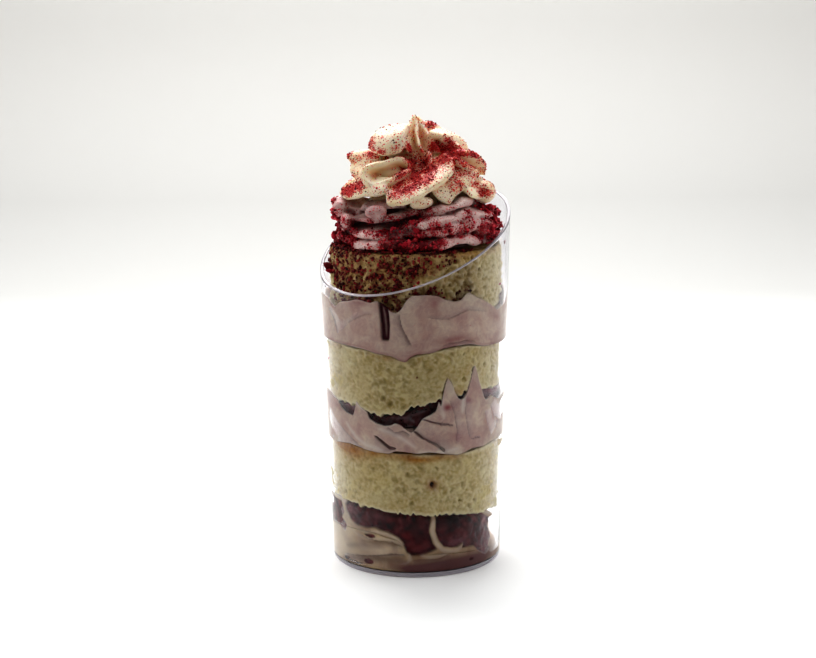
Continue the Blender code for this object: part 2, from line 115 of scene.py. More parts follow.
def points_of(obj, field="co"):
    """The vertices' places, or their normals, as one array."""
    flat = np.empty(len(obj.data.vertices) * 3)
    obj.data.vertices.foreach_get(field, flat)
    return flat.reshape(-1, 3)


def wall_places(obj):
    """The vertices' azimuths and heights."""
    points = points_of(obj)
    return azimuth_of(points), points[:, 2]


def move_points(obj, points):
    obj.data.vertices.foreach_set("co", points.astype(np.float32).ravel())
    obj.data.update()


def mark(obj, name, values):
    """Stores one number for each vertex, for a material to read."""
    layer = obj.data.attributes.new(name, "FLOAT", "POINT")
    layer.data.foreach_set("value", np.asarray(values, dtype=np.float32))


def finish_piece(obj, name, look, slot, *nodes):
    """Names a piece, gives it its look, hangs it under the root and hides the frame's parts that it takes the
    place of.
    """
    obj.name = obj.data.name = name
    obj.data.materials.clear()
    obj.data.materials.append(look)
    obj.data.shade_smooth()
    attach(obj, "root")
    if nodes:
        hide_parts(*nodes)
    return obj


# ---------------------------------------------------------------- shape functions


def clamp01(x):
    return np.clip(x, 0.0, 1.0)


def ease(low, high, x):
    """Rises smoothly from 0 at low to 1 at high."""
    share = clamp01((x - low) / (high - low))
    return share * share * (3.0 - 2.0 * share)


def azimuth_of(points):
    return np.degrees(np.arctan2(points[:, 0], -points[:, 1]))


def noise_place(point, size_mm, shifts):
    """A place in a noise field, for a pattern of this size."""
    return Vector(point) * (1.0 / (size_mm * MM)) + Vector(shifts)


def lumps(points, size_mm, seed):
    """Smooth noise from -1 to 1 with lumps of this size."""
    shifts = (seed * 7.31, seed * 3.17, seed * 5.73)
    return np.array([noise.noise(noise_place(p, size_mm, shifts)) for p in points])


def pits(points, size_mm, reach, seed):
    """1 at the centre of each pit, falling to 0 at its edge. Reach is a share of the size."""
    shifts = (seed * 4.11, seed * 9.37, seed * 2.93)
    near = np.array([noise.voronoi(noise_place(p, size_mm, shifts))[0][0] for p in points])
    return clamp01(1.0 - near / reach)


def inner_radius(z):
    return FOOT_RADIUS - WALL + DRAFT * z


def rim_height(x, y):
    return RIM_HEIGHT + RIM_SLOPE_X * x + RIM_SLOPE_Y * y


def edge_at(knots, lift=0.0, blur=2.0):
    """An edge's height as a function of azimuth, through knots and moved up, both in millimetres."""
    azimuths, heights = zip(*sorted(knots))

    def height(azimuth):
        steps = (-blur, -blur / 2, 0.0, blur / 2, blur)
        reads = [np.interp(azimuth + step, azimuths, heights, period=360.0) for step in steps]
        return np.mean(reads, axis=0) * MM + lift * MM

    return height


def flat_at(height):
    """A level face or edge at this height in millimetres."""
    return lambda azimuth: np.zeros(np.shape(azimuth)) + height * MM


def on_cylinder(azimuth, z):
    """Places on a plain cylinder of the wall's size, for noise to read."""
    turn = np.radians(azimuth)
    return np.column_stack((FOOT_RADIUS * np.sin(turn), -FOOT_RADIUS * np.cos(turn), z))


def hollow_of(obj, rounds, full_mm):
    """How far each vertex lies below the smoothed surface, as a share of a full depth.

    A full depth below zero gives how far it stands above that surface instead.
    """
    points, normals = points_of(obj), points_of(obj, "normal")
    ends = np.empty(len(obj.data.edges) * 2, dtype=np.int32)
    obj.data.edges.foreach_get("vertices", ends)
    a, b = ends[0::2], ends[1::2]
    count = len(points)
    degree = np.maximum(np.bincount(a, minlength=count) + np.bincount(b, minlength=count), 1)
    smooth = points.copy()
    for _ in range(rounds):
        for axis in range(3):
            line = smooth[:, axis]
            total = np.bincount(a, line[b], count) + np.bincount(b, line[a], count)
            smooth[:, axis] = total / degree
    return clamp01(((smooth - points) * normals).sum(axis=1) / (full_mm * MM))


# A place on the wall is an azimuth in degrees and a height in millimetres. On the map of the
# unrolled wall, both directions are in millimetres.
MAP_RADIUS_MM = 25.5
DEGREE = math.radians(1.0) * MAP_RADIUS_MM


def to_path(azimuth, z, path):
    """Distance from each wall point to a path, which side of it it is on, and its share along it."""
    u, v = azimuth * DEGREE, z / MM
    best = np.full(len(u), 1e9)
    side = np.zeros(len(u))
    along = np.zeros(len(u))
    legs = list(zip(path, path[1:]))
    for i, ((a0, z0), (a1, z1)) in enumerate(legs):
        du, dv = (a1 - a0) * DEGREE, z1 - z0
        pu, pv = u - a0 * DEGREE, v - z0
        share = clamp01((pu * du + pv * dv) / (du * du + dv * dv))
        distance = np.hypot(pu - share * du, pv - share * dv)
        nearer = distance < best
        best = np.where(nearer, distance, best)
        side = np.where(nearer, np.sign(du * pv - dv * pu), side)
        along = np.where(nearer, (i + share) / len(legs), along)
    return best, side, along


def fading(along, power, least=0.0):
    """1 along most of a path, falling to this least value at both ends."""
    return np.sqrt(np.maximum(1.0 - (2.0 * along - 1.0) ** power, least))


def stroke(azimuth, z, path, width, soft=0.3):
    """1 along a path of this full width, which tapers at both ends."""
    distance, _, along = to_path(azimuth, z, path)
    half = 0.5 * width * fading(along, 4, 0.05)
    return 1.0 - ease(half - soft, half + soft, distance)


def step_down(azimuth, z, path, depth, reach):
    """The fold's edge along a path: the left side of the path lies deeper, and rises with distance."""
    distance, side, along = to_path(azimuth, z, path)
    return depth * fading(along, 6) * np.where(side > 0.0, np.exp(-distance / reach), 0.0)


def crease_of(azimuth, z, folds, slits=()):
    """1 along the foot of each fold and in each slit, where shade is painted."""
    crease = np.zeros(len(azimuth))
    for path, deep, _ in folds:
        distance, side, along = to_path(azimuth, z, path)
        foot = np.where(side > 0.0, np.exp(-distance / 0.5), 0.0)
        crease = np.maximum(crease, fading(along, 4) * min(deep, 0.8) * foot)
    for path, width, _ in slits:
        crease = np.maximum(crease, stroke(azimuth, z, path, width, 0.2))
    return crease


def patch(azimuth, z, centre, height, wide, high, lean=0.0):
    """1 at a place on the wall, falling to 0 over half widths. Lean turns it, in degrees."""
    u = (azimuth - centre) * DEGREE
    v = z / MM - height
    c, s = math.cos(math.radians(lean)), math.sin(math.radians(lean))
    return np.exp(-(((c * u + s * v) / wide) ** 2 + ((-s * u + c * v) / high) ** 2))


def patches(azimuth, z, *rows):
    """The sum of patches, each with its amount first."""
    return sum(amount * patch(azimuth, z, *shape) for amount, *shape in rows)


def inside(azimuth, z, outline, soft=0.4):
    """1 within a closed outline on the wall and 0 outside it, with a soft edge."""
    ring = list(outline) + [outline[0]]
    distance, _, _ = to_path(azimuth, z, ring)
    u, v = azimuth * DEGREE, z / MM
    crossings = np.zeros(len(u), dtype=bool)
    for (a0, z0), (a1, z1) in zip(ring, ring[1:]):
        if z0 != z1:
            cut = a0 * DEGREE + (v - z0) / (z1 - z0) * (a1 - a0) * DEGREE
            crossings ^= ((v < z0) != (v < z1)) & (u < cut)
    return ease(-soft, soft, np.where(crossings, distance, -distance))


# ---------------------------------------------------------------- layers in the cup

COLUMNS = 560  # points round a layer's side, 0.28 mm apart
# A unit disc's rings of points, as shares of the radius: those in the hidden part of a face, and
# the inner and outer side of a skirt's thin lip.
HIDDEN_RINGS = (0.0, 0.35, 0.65, 0.85, 0.93)
LIP_IN, LIP_OUT = 0.956, 0.978
OUTER_RINGS = 4  # rings from the last of those to the rim
WELD = 0.00001  # points nearer than this are one point


def spun(name, profile, steps):
    """Draws a profile of (radius, height) points by extruding one vertex and turns it once round."""
    (first_r, first_z), *_ = profile
    obj = basic(bpy.ops.mesh.primitive_plane_add, size=MM, location=(first_r, 0.0, first_z))
    obj.name = name
    edit(obj)
    bpy.ops.mesh.merge(type="CENTER")
    bpy.ops.mesh.select_all(action="SELECT")
    for (r, z), (next_r, next_z) in zip(profile, profile[1:]):
        move = (next_r - r, 0.0, next_z - z)
        bpy.ops.mesh.extrude_region_move(TRANSFORM_OT_translate={"value": move})
    done()
    screw = obj.modifiers.new("turn", "SCREW")
    screw.angle = math.tau
    screw.steps = screw.render_steps = steps
    screw.use_merge_vertices = True
    screw.merge_threshold = WELD
    edit(apply_all(obj))
    bpy.ops.mesh.remove_doubles(threshold=WELD)
    return done(outwards=True)


def disc(name, base, top, radius, skirt=None, rows=64, edge_mm=0.8, columns=COLUMNS):
    """A disc between two uneven faces, spun as a unit disc and then fitted to the cup.

    A point at share s of the radius and share t of the height goes to its place between the faces.
    With a skirt, a thin lip rises at the rim. The side's edges are rounded over this edge width.
    """
    edge = edge_mm * MM
    if skirt:
        tops = [(s, 1.0) for s in (0.0, 0.4, 0.8, LIP_IN)]
        tops += [(LIP_OUT + (1.0 - LIP_OUT) * i / OUTER_RINGS, 1.0) for i in range(OUTER_RINGS)]
    else:
        tops = [(s, 1.0) for s in HIDDEN_RINGS]
        tops += [(0.93 + 0.07 * i / OUTER_RINGS, 1.0) for i in range(1, OUTER_RINGS)]
    sides = [(1.0, 1.0 - i / rows) for i in range(rows + 1)]
    bottoms = [(s, 0.0) for s in (0.97,) + HIDDEN_RINGS[::-1]]
    obj = spun(name, tops + sides + bottoms, columns)

    points = points_of(obj)
    s = np.hypot(points[:, 0], points[:, 1])
    t = points[:, 2]
    azimuth = azimuth_of(points)
    azimuth[s < 0.001] = 0.0
    fade = np.minimum(s / 0.92, 1.0)
    low = spread(base, azimuth, fade)
    high = spread(top, azimuth, fade)
    if skirt:
        lip = ease(LIP_IN + 0.003, LIP_IN + 0.018, s)
        high = high + (skirt(azimuth) - high) * lip
        t = np.where((lip > 0.5) & (s < 0.999), 1.0 - 0.25 * (1.0 - s) / (1.0 - LIP_OUT), t)
    z = low + t * (high - low)
    steep = 1.0 + (slope_of(skirt or top, azimuth)) ** 2
    from_edge = np.minimum(z - low, (high - z) / np.sqrt(steep))
    share = clamp01(1.0 - from_edge / edge)
    rounding = edge * (1.0 - np.sqrt(np.maximum(1.0 - share * share, 0.0))) * (s > 0.999)
    r = s * radius(azimuth, z) - rounding
    turn = np.radians(azimuth)
    move_points(obj, np.column_stack((r * np.sin(turn), -r * np.cos(turn), z)))
    return obj


def spread(face, azimuth, fade):
    """A face's height: what it has at the rim fades to its mean height at the axis."""
    middle = float(np.mean(face(np.arange(-180.0, 180.0, 5.0))))
    return middle + (face(azimuth) - middle) * fade


def slope_of(face, azimuth):
    """Rise of an edge for each unit of length round the cup."""
    step = 0.6
    return (face(azimuth + step) - face(azimuth - step)) / (2.0 * math.radians(step) * FOOT_RADIUS)


# Edges between the layers round the cup: azimuth and height. The photo gives the front from -75
# to 75; the rest carries on in the same manner. Below them are the heights of the level faces.
SPONGE_LOWER_BASE = (
    (-120, 20.4), (-90, 20.8), (-59, 20.7), (-30, 19.4), (-9, 18.8), (10, 18.2), (32, 17.4), (61, 16.3),
    (90, 16), (130, 16.8), (180, 18.6),
)
SPONGE_LOWER_TOP = (
    (-90, 36.9), (-51, 37.1), (-19, 36.5), (6, 36.1), (31, 35.5), (67, 36.6), (110, 35.9), (150, 36),
    (180, 36.3), (-130, 36.6),
)
MIDDLE_FOOT = (
    (-67, 36.9), (-49, 37.9), (-37, 37.2), (-26, 36.6), (-17, 36.6), (-13, 37.5), (-8, 37.4), (1, 36.8),
    (9, 37.1), (18, 36.4), (28, 35.6), (33, 36), (39, 36.8), (50, 36.6), (57, 37.2), (75, 37.6),
    (100, 36.6), (125, 36.2), (150, 36.9), (178, 36.6), (-150, 37), (-120, 37.4), (-95, 37.2),
)
MIDDLE_EDGE = (
    (-180, 50.4), (-160, 49.6), (-146, 50.8), (-135, 54.6), (-128, 55.8), (-121, 52.4), (-108, 49.6),
    (-96, 50.8), (-84, 52.6), (-72, 52), (-64, 50.6), (-59, 49.8), (-55, 48.1), (-50, 47.1), (-43.6, 46.6),
    (-42.2, 48.4), (-40.4, 51.3), (-38.4, 50.2), (-35, 49.2), (-32, 48.3), (-30.5, 46.6), (-26, 45.5),
    (-20, 44.8), (-16, 45.1), (-13, 45.8), (-9.5, 45.3), (-6.5, 44.2), (-3, 43.2), (-0.5, 43.9), (1, 44.9),
    (4, 47), (7.5, 47.9), (10, 48.4), (13, 49.3), (14.3, 51), (14.9, 52.9), (15.5, 50.6), (16.2, 50.4),
    (17.4, 54.1), (19, 57), (20.4, 58.8), (21.6, 58), (23.2, 57.2), (26, 53.9), (28.4, 52.2), (30, 51.9),
    (32, 52.4), (34, 53.6), (36.2, 56.4), (38, 59.4), (39.6, 61.6), (41.2, 60.6), (42.6, 58.4),
    (44.4, 56.2), (46.4, 54.2), (49, 51.4), (51, 50.5), (54, 51), (57, 51.2), (62, 50.2), (67, 49.4),
    (76, 50.6), (88, 50.2), (99, 51.6), (106, 55.2), (111, 57.4), (115, 55), (122, 51.4), (134, 50.8),
    (148, 52.6), (157, 55.6), (165, 52.6),
)
SPONGE_MIDDLE_BASE = (
    (-62, 49.6), (-44, 49.8), (-35, 48.3), (-21, 47.4), (-9, 48.3), (1, 50), (11, 52), (34, 53.6),
    (51, 53.8), (90, 53), (130, 52), (180, 50.6), (-130, 49.6), (-95, 48.6),
)
SPONGE_MIDDLE_TOP = (
    (-90, 66.6), (-60, 66.6), (-45, 66.2), (-21, 65.3), (-8, 63.6), (0, 64.8), (16, 66.4), (30, 67),
    (63, 65.6), (90, 66.4), (140, 66.8), (180, 66.2), (-140, 67),
)
UPPER_FOOT = (
    (-90, 67), (-60, 67), (-45, 66.8), (-34, 66.4), (-29, 66), (-24, 65.4), (-19, 65.3), (-14, 64.9),
    (-9, 63.6), (-5.5, 63.2), (-3, 64.8), (1, 65.6), (10, 65.8), (16, 66.8), (23, 67.3), (32, 67.5),
    (37, 67.4), (47, 66.2), (57, 66), (72, 65.9), (90, 66.8), (115, 66), (140, 67.2), (165, 66.2),
    (-170, 66.8), (-145, 67.4), (-120, 66.4),
)
UPPER_EDGE = (
    (-67, 79.6), (-61, 77.8), (-57, 77.6), (-53, 79.1), (-44, 79.8), (-38, 80.6), (-33, 80.4), (-28, 79.9),
    (-24, 80.7), (-21, 79.9), (-18, 79), (-15, 77.9), (-11, 77.4), (-8, 78.6), (-5.5, 80.8), (-2, 82.3),
    (6, 82.5), (14, 82.2), (18, 81.1), (25, 80.2), (29.5, 80.6), (32, 82), (35, 82.4), (40, 81), (46, 79.9),
    (54, 77.9), (61, 76), (72, 77), (84, 80.2), (95, 81), (108, 79), (122, 78), (138, 80.6), (150, 82),
    (162, 80.4), (176, 78.2), (-165, 79.6), (-150, 81), (-136, 79), (-120, 78.4), (-102, 80.2), (-84, 80.4),
)
SPONGE_TOP_BASE = ((-180, 76.6), (-90, 76.2), (0, 76.8), (90, 76.4))
SPONGE_TOP_TOP = 93.8
PIPED_TOP = 105.0
GAP = 0.4
JAM_LEVEL = 44.0  # the jam of the middle layer starts at this height, under the skirt's edge

# ---------------------------------------------------------------- sponge

HOLE = (10.6, 27.4)  # the lower sponge's open hole, painted dark inside as shade: azimuth and height


def crumb_depth(azimuth, z, seed, rough):
    """How deep the torn crumb lies, in metres: soft swells, woolly clumps and a few open holes."""
    places = on_cylinder(azimuth, z)
    depth = 0.4 * lumps(places, 7.0, seed)
    livelier = 0.75 + 0.9 * lumps(places, 5.5, seed + 6)
    for size, amount, kind in ((3.2, 0.45, 1), (1.6, 0.42, 2), (0.8, 0.26, 3)):
        depth += amount * livelier * lumps(places, size, seed + kind)
    holes = pits(places, 3.4, 0.3, seed + 4) * ease(0.1, 0.3, lumps(places, 5.0, seed + 5))
    return rough * MM * np.maximum(0.3 + depth + 0.9 * holes, 0.0)


def sponge(layer, base, top, clear, seed, rough=1.0, edge_mm=0.45, hole=None):
    """A disc of sponge. Clear gives its distance from the wall, by azimuth and height.

    Its lower edge is ragged, and lies nearer the wall than the rest. A hole is an open one, painted dark
    inside as shade.
    """

    def torn(azimuth):
        places = on_cylinder(azimuth, np.zeros(np.shape(azimuth)))
        breaks = ((3.0, 0.6), (1.3, 0.8), (0.6, 0.6))
        return base(azimuth) + sum(amount * lumps(places, size, seed + 7) for size, amount in breaks) * MM

    def radius(azimuth, z):
        inward = ease(0.0, 2.2 * MM, z - base(azimuth))
        depth = clear(azimuth, z) * (0.4 + 0.6 * inward)
        depth = depth + crumb_depth(azimuth, z, seed, rough) * (0.5 + 0.5 * inward)
        if hole:
            depth += 1.8 * MM * patch(azimuth, z, *hole, 0.75, 0.95)
        return inner_radius(z) - depth

    obj = disc(layer + "_crumb", torn, top, radius, edge_mm=edge_mm)
    azimuth, z = wall_places(obj)
    if hole:
        # Painted shade: the inside of the hole is painted near black.
        mark(obj, "dark", ease(0.35, 0.75, patch(azimuth, z, *hole, 0.7, 0.9)))
        mark(obj, "singed", patch(azimuth, z, *hole, 1.7, 1.5))
    # Painted shade darkens the crumb's pits, and a painted highlight lightens its raised crumbs.
    mark(obj, "hollow", hollow_of(obj, 12, 0.4))
    mark(obj, "proud", hollow_of(obj, 12, -0.3))
    return obj, azimuth, z


def make_sponge_lower(look):
    """Fills the cup. Its top is browned in places, where the crust was left on."""
    obj, azimuth, z = sponge(
        "sponge_lower",
        edge_at(SPONGE_LOWER_BASE),
        edge_at(SPONGE_LOWER_TOP, 0.35),
        lambda azimuth, z: -BITE,
        3,
        hole=HOLE,
    )
    crust = patches(azimuth, z, (1.0, -46, 36.4, 7.5, 2.6), (0.9, 2, 35.0, 4.6, 1.0))
    from_top = edge_at(SPONGE_LOWER_TOP)(azimuth) - z
    crust += 0.6 * ease(2.2 * MM, 0.0, from_top) * ease(-0.2, 0.3, lumps(on_cylinder(azimuth, z), 9, 8))
    crust += patches(azimuth, z, (0.7, -62, 37, 5.0, 1.2))
    mark(obj, "crust", clamp01(crust))
    finish_piece(obj, "sponge_lower_crumb", look, "sponge", "sponge_lower")


def make_sponge_middle(look):
    """Lies behind the pointed frosting at its foot, and clear of the wall at the right."""
    frosting_edge = edge_at(MIDDLE_EDGE, blur=0.8)

    def clear(azimuth, z):
        behind = ease(0.1 * MM, 0.9 * MM, frosting_edge(azimuth) - z)
        from_right = np.abs((azimuth - 90.0 + 180.0) % 360.0 - 180.0)
        gap = 1.4 * clamp01(1.0 - from_right / 50.0) - BITE / MM
        return (gap + (1.0 - gap) * behind) * MM

    base, top = edge_at(SPONGE_MIDDLE_BASE), edge_at(SPONGE_MIDDLE_TOP, 0.35)
    obj, azimuth, z = sponge("sponge_middle", base, top, clear, 17)
    crust = ((0.5, 27, 54.0, 3.0, 1.0), (0.5, -17, 64.6, 2.4, 1.0), (0.5, -60, 67, 3.0, 1.6))
    mark(obj, "crust", clamp01(patches(azimuth, z, *crust)))
    finish_piece(obj, "sponge_middle_crumb", look, "sponge", "sponge_middle")


def make_sponge_top(look):
    """Open to the air at the front, where berry juice has soaked in and powder lies."""
    frosting_edge = edge_at(UPPER_EDGE)

    def clear(azimuth, z):
        behind = ease(0.1 * MM, 0.9 * MM, frosting_edge(azimuth) - z)
        cut = inner_radius(z) - (25.3 + 0.5 * np.sin(np.radians(azimuth))) * MM
        return np.maximum(cut, 0.6 * MM) * (1.0 - behind) + 1.2 * MM * behind

    base, top = edge_at(SPONGE_TOP_BASE), flat_at(SPONGE_TOP_TOP)
    obj, azimuth, z = sponge("sponge_top", base, top, clear, 31, rough=1.8, edge_mm=1.8)
    points = points_of(obj)
    below = 4.0 * MM * ease(8.0, -14.0, azimuth) * ease(-80.0, -60.0, azimuth)
    open_front = ease(-1.0 * MM, 1.5 * MM, z - rim_height(points[:, 0], points[:, 1]) + below)
    above = z - frosting_edge(azimuth)
    at_edge = ease(3.4 * MM, 0.8 * MM, above) * ease(-75.0, -55.0, azimuth) * ease(46.0, 26.0, azimuth)
    at_edge = np.maximum(at_edge, 1.4 * patch(azimuth, z, -10.4, 79.4, 1.6, 2.2))
    left = 1.0 - 0.45 * ease(-30.0, 40.0, azimuth)
    dusty = np.maximum(open_front * left, 0.8 * at_edge) * (0.85 + 0.6 * lumps(points, 4.0, 41))
    dusty *= 0.7 + 1.1 * lumps(points, 1.7, 43)
    mark(obj, "dust", clamp01(np.maximum(dusty, 0.16 * ease(62.0, 45.0, np.abs(azimuth)))))
    crust = 0.35 * ease(91.5 * MM, 93.5 * MM, z) + patches(azimuth, z, (0.4, 38, 92.6, 7.0, 1.2))
    mark(obj, "crust", crust)
    soaked = np.maximum(open_front * (1.0 - 0.6 * ease(0.0, 34.0, azimuth)), 0.6 * at_edge)
    soaked = np.maximum(soaked, 0.4 * ease(48.0, 34.0, azimuth) * ease(-70.0, -50.0, azimuth))
    mark(obj, "soaked", 0.8 * clamp01(soaked * (0.95 + 0.5 * lumps(points, 5.0, 45))))
    return finish_piece(obj, "sponge_top_crumb", look, "sponge", "sponge_top")


# ---------------------------------------------------------------- frosting and jam in the cup

# Folds in the smeared frosting: path, depth and reach. Slits: path, width and depth. Ridges with a
# painted highlight along them: path and width. Stains: amount, azimuth, height, half widths and lean.
MIDDLE_FOLDS = (
    (((-1, 43.4), (5, 41.1), (13, 39), (19, 36.6)), 0.7, 1.8),
    (((-13, 38.2), (-17, 38.2), (-21, 39.6), (-26, 41.4)), 0.5, 1.4),
    (((-3.5, 42.6), (-8, 43.6), (-13, 43), (-18, 44.6)), 0.4, 1.2),
    (((-36, 37.4), (-50, 41), (-60, 43.3), (-72, 46.6)), 0.8, 2.2),
    (((50, 47), (53, 43), (58, 39.4)), 0.5, 2),
    (((56, 48), (62, 44.6), (72, 42.6)), 0.8, 1.6),
    (((21.5, 52), (25, 48), (27, 43), (26, 39)), 0.3, 2),
    (((34, 53), (33, 48), (35, 43), (37, 40)), 0.25, 2.4),
    (((100, 45.6), (118, 43.4), (139, 39.2)), 0.9, 2.2),
    (((166, 47), (180, 43), (196, 38.6)), 0.9, 2.2),
    (((-150, 46.6), (-132, 43.6), (-110, 41)), 0.9, 2),
)
MIDDLE_SLITS = (
    (((-26.5, 41.5), (-21, 39.7), (-17, 38.4), (-13, 38.3)), 0.75, 1.3),
    (((3, 47.2), (9, 46.2), (17, 45.2), (24, 44.6)), 0.28, 0.6),
    (((38, 39.8), (42, 39.9), (46, 39.7)), 0.24, 0.5),
    (((-1.6, 43.8), (1.5, 42.4), (5, 41.1)), 0.3, 0.6),
    (((60, 45.6), (62, 43), (64, 41.2)), 0.3, 0.6),
)
MIDDLE_RIDGE_HIGHLIGHTS = (
    (((-50, 44), (-42, 40.6), (-34, 38.6), (-22, 37.6)), 0.9),
    (((-24, 43.8), (-16, 43), (-8, 41.2), (0, 38.6)), 1),
    (((16, 54), (16.5, 51), (18, 47)), 1),
    (((32, 57), (31.6, 53), (31, 48)), 1.2),
    (((2, 37.4), (14, 36.9), (28, 37.6)), 0.7),
)
MIDDLE_STAINS = (
    (0.9, 20.5, 50, 1.5, 1), (0.5, 36, 51.2, 0.9, 0.7), (0.42, 52, 43.6, 1.6, 3.4, 12),
    (0.4, 61, 44.8, 1.4, 2.6, -30), (0.45, -57, 48, 2.2, 1.4, -30), (0.25, 20, 40.6, 7, 1.8),
)
UPPER_FOLDS = (
    (((-2, 68.4), (-5, 70.8), (-8, 73.8), (-9.4, 77.2)), 0.45, 1.6),
    (((40, 68.2), (32, 68.9), (24, 68.6), (17, 68)), 0.4, 1.2),
    (((-66, 76.4), (-60, 73.6), (-56, 69.6)), 0.4, 1.6),
    (((6, 76), (20, 75.2), (34, 77.4), (50, 76)), 0.2, 2.4),
    (((-52, 70.4), (-44, 73.6), (-34, 76), (-26, 76.8)), 0.2, 2.4),
    (((100, 77), (118, 73.2), (132, 68.8)), 0.7, 2.2),
    (((170, 78), (186, 74), (196, 69.2)), 0.7, 2),
    (((-140, 77), (-124, 74.6), (-104, 71)), 0.6, 2),
)
UPPER_STAINS = (
    (0.35, 12, 79.4, 1.1, 3), (0.5, 25, 69.6, 5, 1, 8), (0.45, 37, 68.8, 3.2, 0.9),
    (0.3, 60, 74, 3.4, 1, -20), (0.4, -60, 78, 2.4, 1.8), (0.3, -30, 79.6, 6, 0.9),
)
# The groove that jam has run down, and the painted highlight that streaks down it.
UPPER_GROOVE = (
    (-22.4, 80.6), (-21.6, 77.4), (-20.9, 73.8), (-20.7, 70.2), (-20.0, 69.6), (-16.4, 69.6),
    (-15.8, 70.2), (-15.4, 74.0), (-15.8, 77.2), (-17.4, 80.6),
)
UPPER_GROOVE_HIGHLIGHT = ((-19.6, 78.8), (-18.6, 76.4), (-18.0, 73.6), (-17.9, 70.6))


def smear(name, edges, columns, dents, folds, slits, extra_depth):
    """A band of frosting on the wall, with folds that overlap and slits between them.

    Its edges are those of its base, top and skirt. Dents are the size and seed of its shallow
    dents, and the extra depth is a function of the place.
    """
    base, top, skirt = edges

    def radius(azimuth, z):
        depth = 0.10 * ease(0.1, 0.6, lumps(on_cylinder(azimuth, z), *dents)) + extra_depth(azimuth, z)
        for fold_values in folds:
            depth = depth + step_down(azimuth, z, *fold_values)
        for path, width, deep in slits:
            depth = depth + deep * stroke(azimuth, z, path, width, 0.2)
        return inner_radius(z) + BITE - depth * MM

    obj = disc(name, base, top, radius, skirt=skirt, rows=58, edge_mm=0.28, columns=columns)
    azimuth, z = wall_places(obj)
    # Painted shade: the material darkens the creases, slits and hollows.
    mark(obj, "crease", crease_of(azimuth, z, folds, slits))
    mark(obj, "hollow", hollow_of(obj, 25, 0.5))
    return obj, azimuth, z


def stained_back(obj, azimuth, seed):
    """Soft stains at the sides and the back of a band."""
    return 0.3 * ease(0.1, 0.5, lumps(points_of(obj), 6.0, seed)) * ease(60.0, 90.0, np.abs(azimuth))


def make_frosting_middle(look):
    """Smeared up the wall in pointed tongues, with a skirt beside the sponge above."""
    edge = edge_at(MIDDLE_EDGE, blur=0.5)
    obj, azimuth, z = smear(
        "frosting_middle_smear",
        (edge_at(MIDDLE_FOOT, blur=1.0), flat_at(JAM_LEVEL - GAP), edge),
        660,
        (6.0, 51),
        MIDDLE_FOLDS,
        MIDDLE_SLITS,
        lambda azimuth, z: 1.3 * patch(azimuth, z, 78, 46.4, 2.6, 1.6),
    )
    mark(obj, "stain", clamp01(patches(azimuth, z, *MIDDLE_STAINS) + stained_back(obj, azimuth, 57)))
    # Painted highlight: lighter, in patches, along the thin top edge, and along the ridges.
    uneven = ease(-0.1, 0.4, lumps(points_of(obj), 4.0, 59))
    lip = 0.6 * ease(0.9 * MM, 0.3 * MM, edge(azimuth) - z) * uneven
    for path, wide in MIDDLE_RIDGE_HIGHLIGHTS:
        lip = np.maximum(lip, 0.85 * stroke(azimuth, z, path, wide, 0.8))
    mark(obj, "lip", lip)
    finish_piece(obj, "frosting_middle_smear", look, "mauve_frosting", "frosting_middle")


def make_frosting_upper(look):
    """A band pressed flat on the wall, with clouded colour, soft folds and one groove of jam."""
    foot = edge_at(UPPER_FOOT, blur=1.0)
    obj, azimuth, z = smear(
        "frosting_upper_smear",
        (foot, edge_at(SPONGE_TOP_BASE, -GAP), edge_at(UPPER_EDGE, blur=1.0)),
        620,
        (7.0, 61),
        UPPER_FOLDS,
        (),
        lambda azimuth, z: 0.9 * inside(azimuth, z, UPPER_GROOVE, 0.25),
    )
    above = z - foot(azimuth)
    stain = patches(azimuth, z, *UPPER_STAINS) + 0.3 * ease(1.2 * MM, 0.5 * MM, above)
    mark(obj, "stain", clamp01(stain + stained_back(obj, azimuth, 67)))
    # Painted highlight: a light line, in patches, along the band's lower edge.
    uneven = ease(-0.2, 0.3, lumps(points_of(obj), 4.0, 69))
    mark(obj, "lip", 0.7 * ease(0.65 * MM, 0.25 * MM, above) * uneven)
    # Jam in the groove, cut by a painted highlight that streaks down it.
    jam = inside(azimuth, z, UPPER_GROOVE, 0.2) * (1.0 - 0.55 * stroke(azimuth, z, UPPER_GROOVE_HIGHLIGHT, 0.5))
    mark(obj, "jam", jam)
    finish_piece(obj, "frosting_upper_smear", look, "mauve_frosting", "frosting_upper")


# The line between the bottom layer's cream and its jam, where berry jam lies against the wall,
# and the pale cream strokes and the painted highlights along fold lips over both: path and width.
BOTTOM_LINE = (
    (-90, 11.6), (-50, 12.6), (-30, 12.6), (-12, 11.0), (-5, 7.0), (20, 6.6), (45, 5.8), (66, 5.2),
    (90, 5.6), (130, 7.0), (180, 9.6), (-130, 12.2),
)
JAM_LEFT = (
    (-84, 19.6), (-60, 19.6), (-57, 16.6), (-60, 14.6), (-55, 12.9), (-57, 10.9), (-64, 12), (-84, 11.4),
)
JAM_MAIN = (
    (-57, 21), (-55, 17.2), (-51, 14.9), (-44, 13.9), (-36, 13.7), (-29, 14.1), (-21, 13.2), (-12, 11.4),
    (-9, 9.9), (-7, 7.6), (-4, 6.5), (3, 6.7), (9, 7.4), (14, 8.4), (26, 8), (33, 7.6), (42, 7.4),
    (46, 5.6), (54, 3.6), (62, 5), (66, 9), (61, 13.6), (70, 21),
)
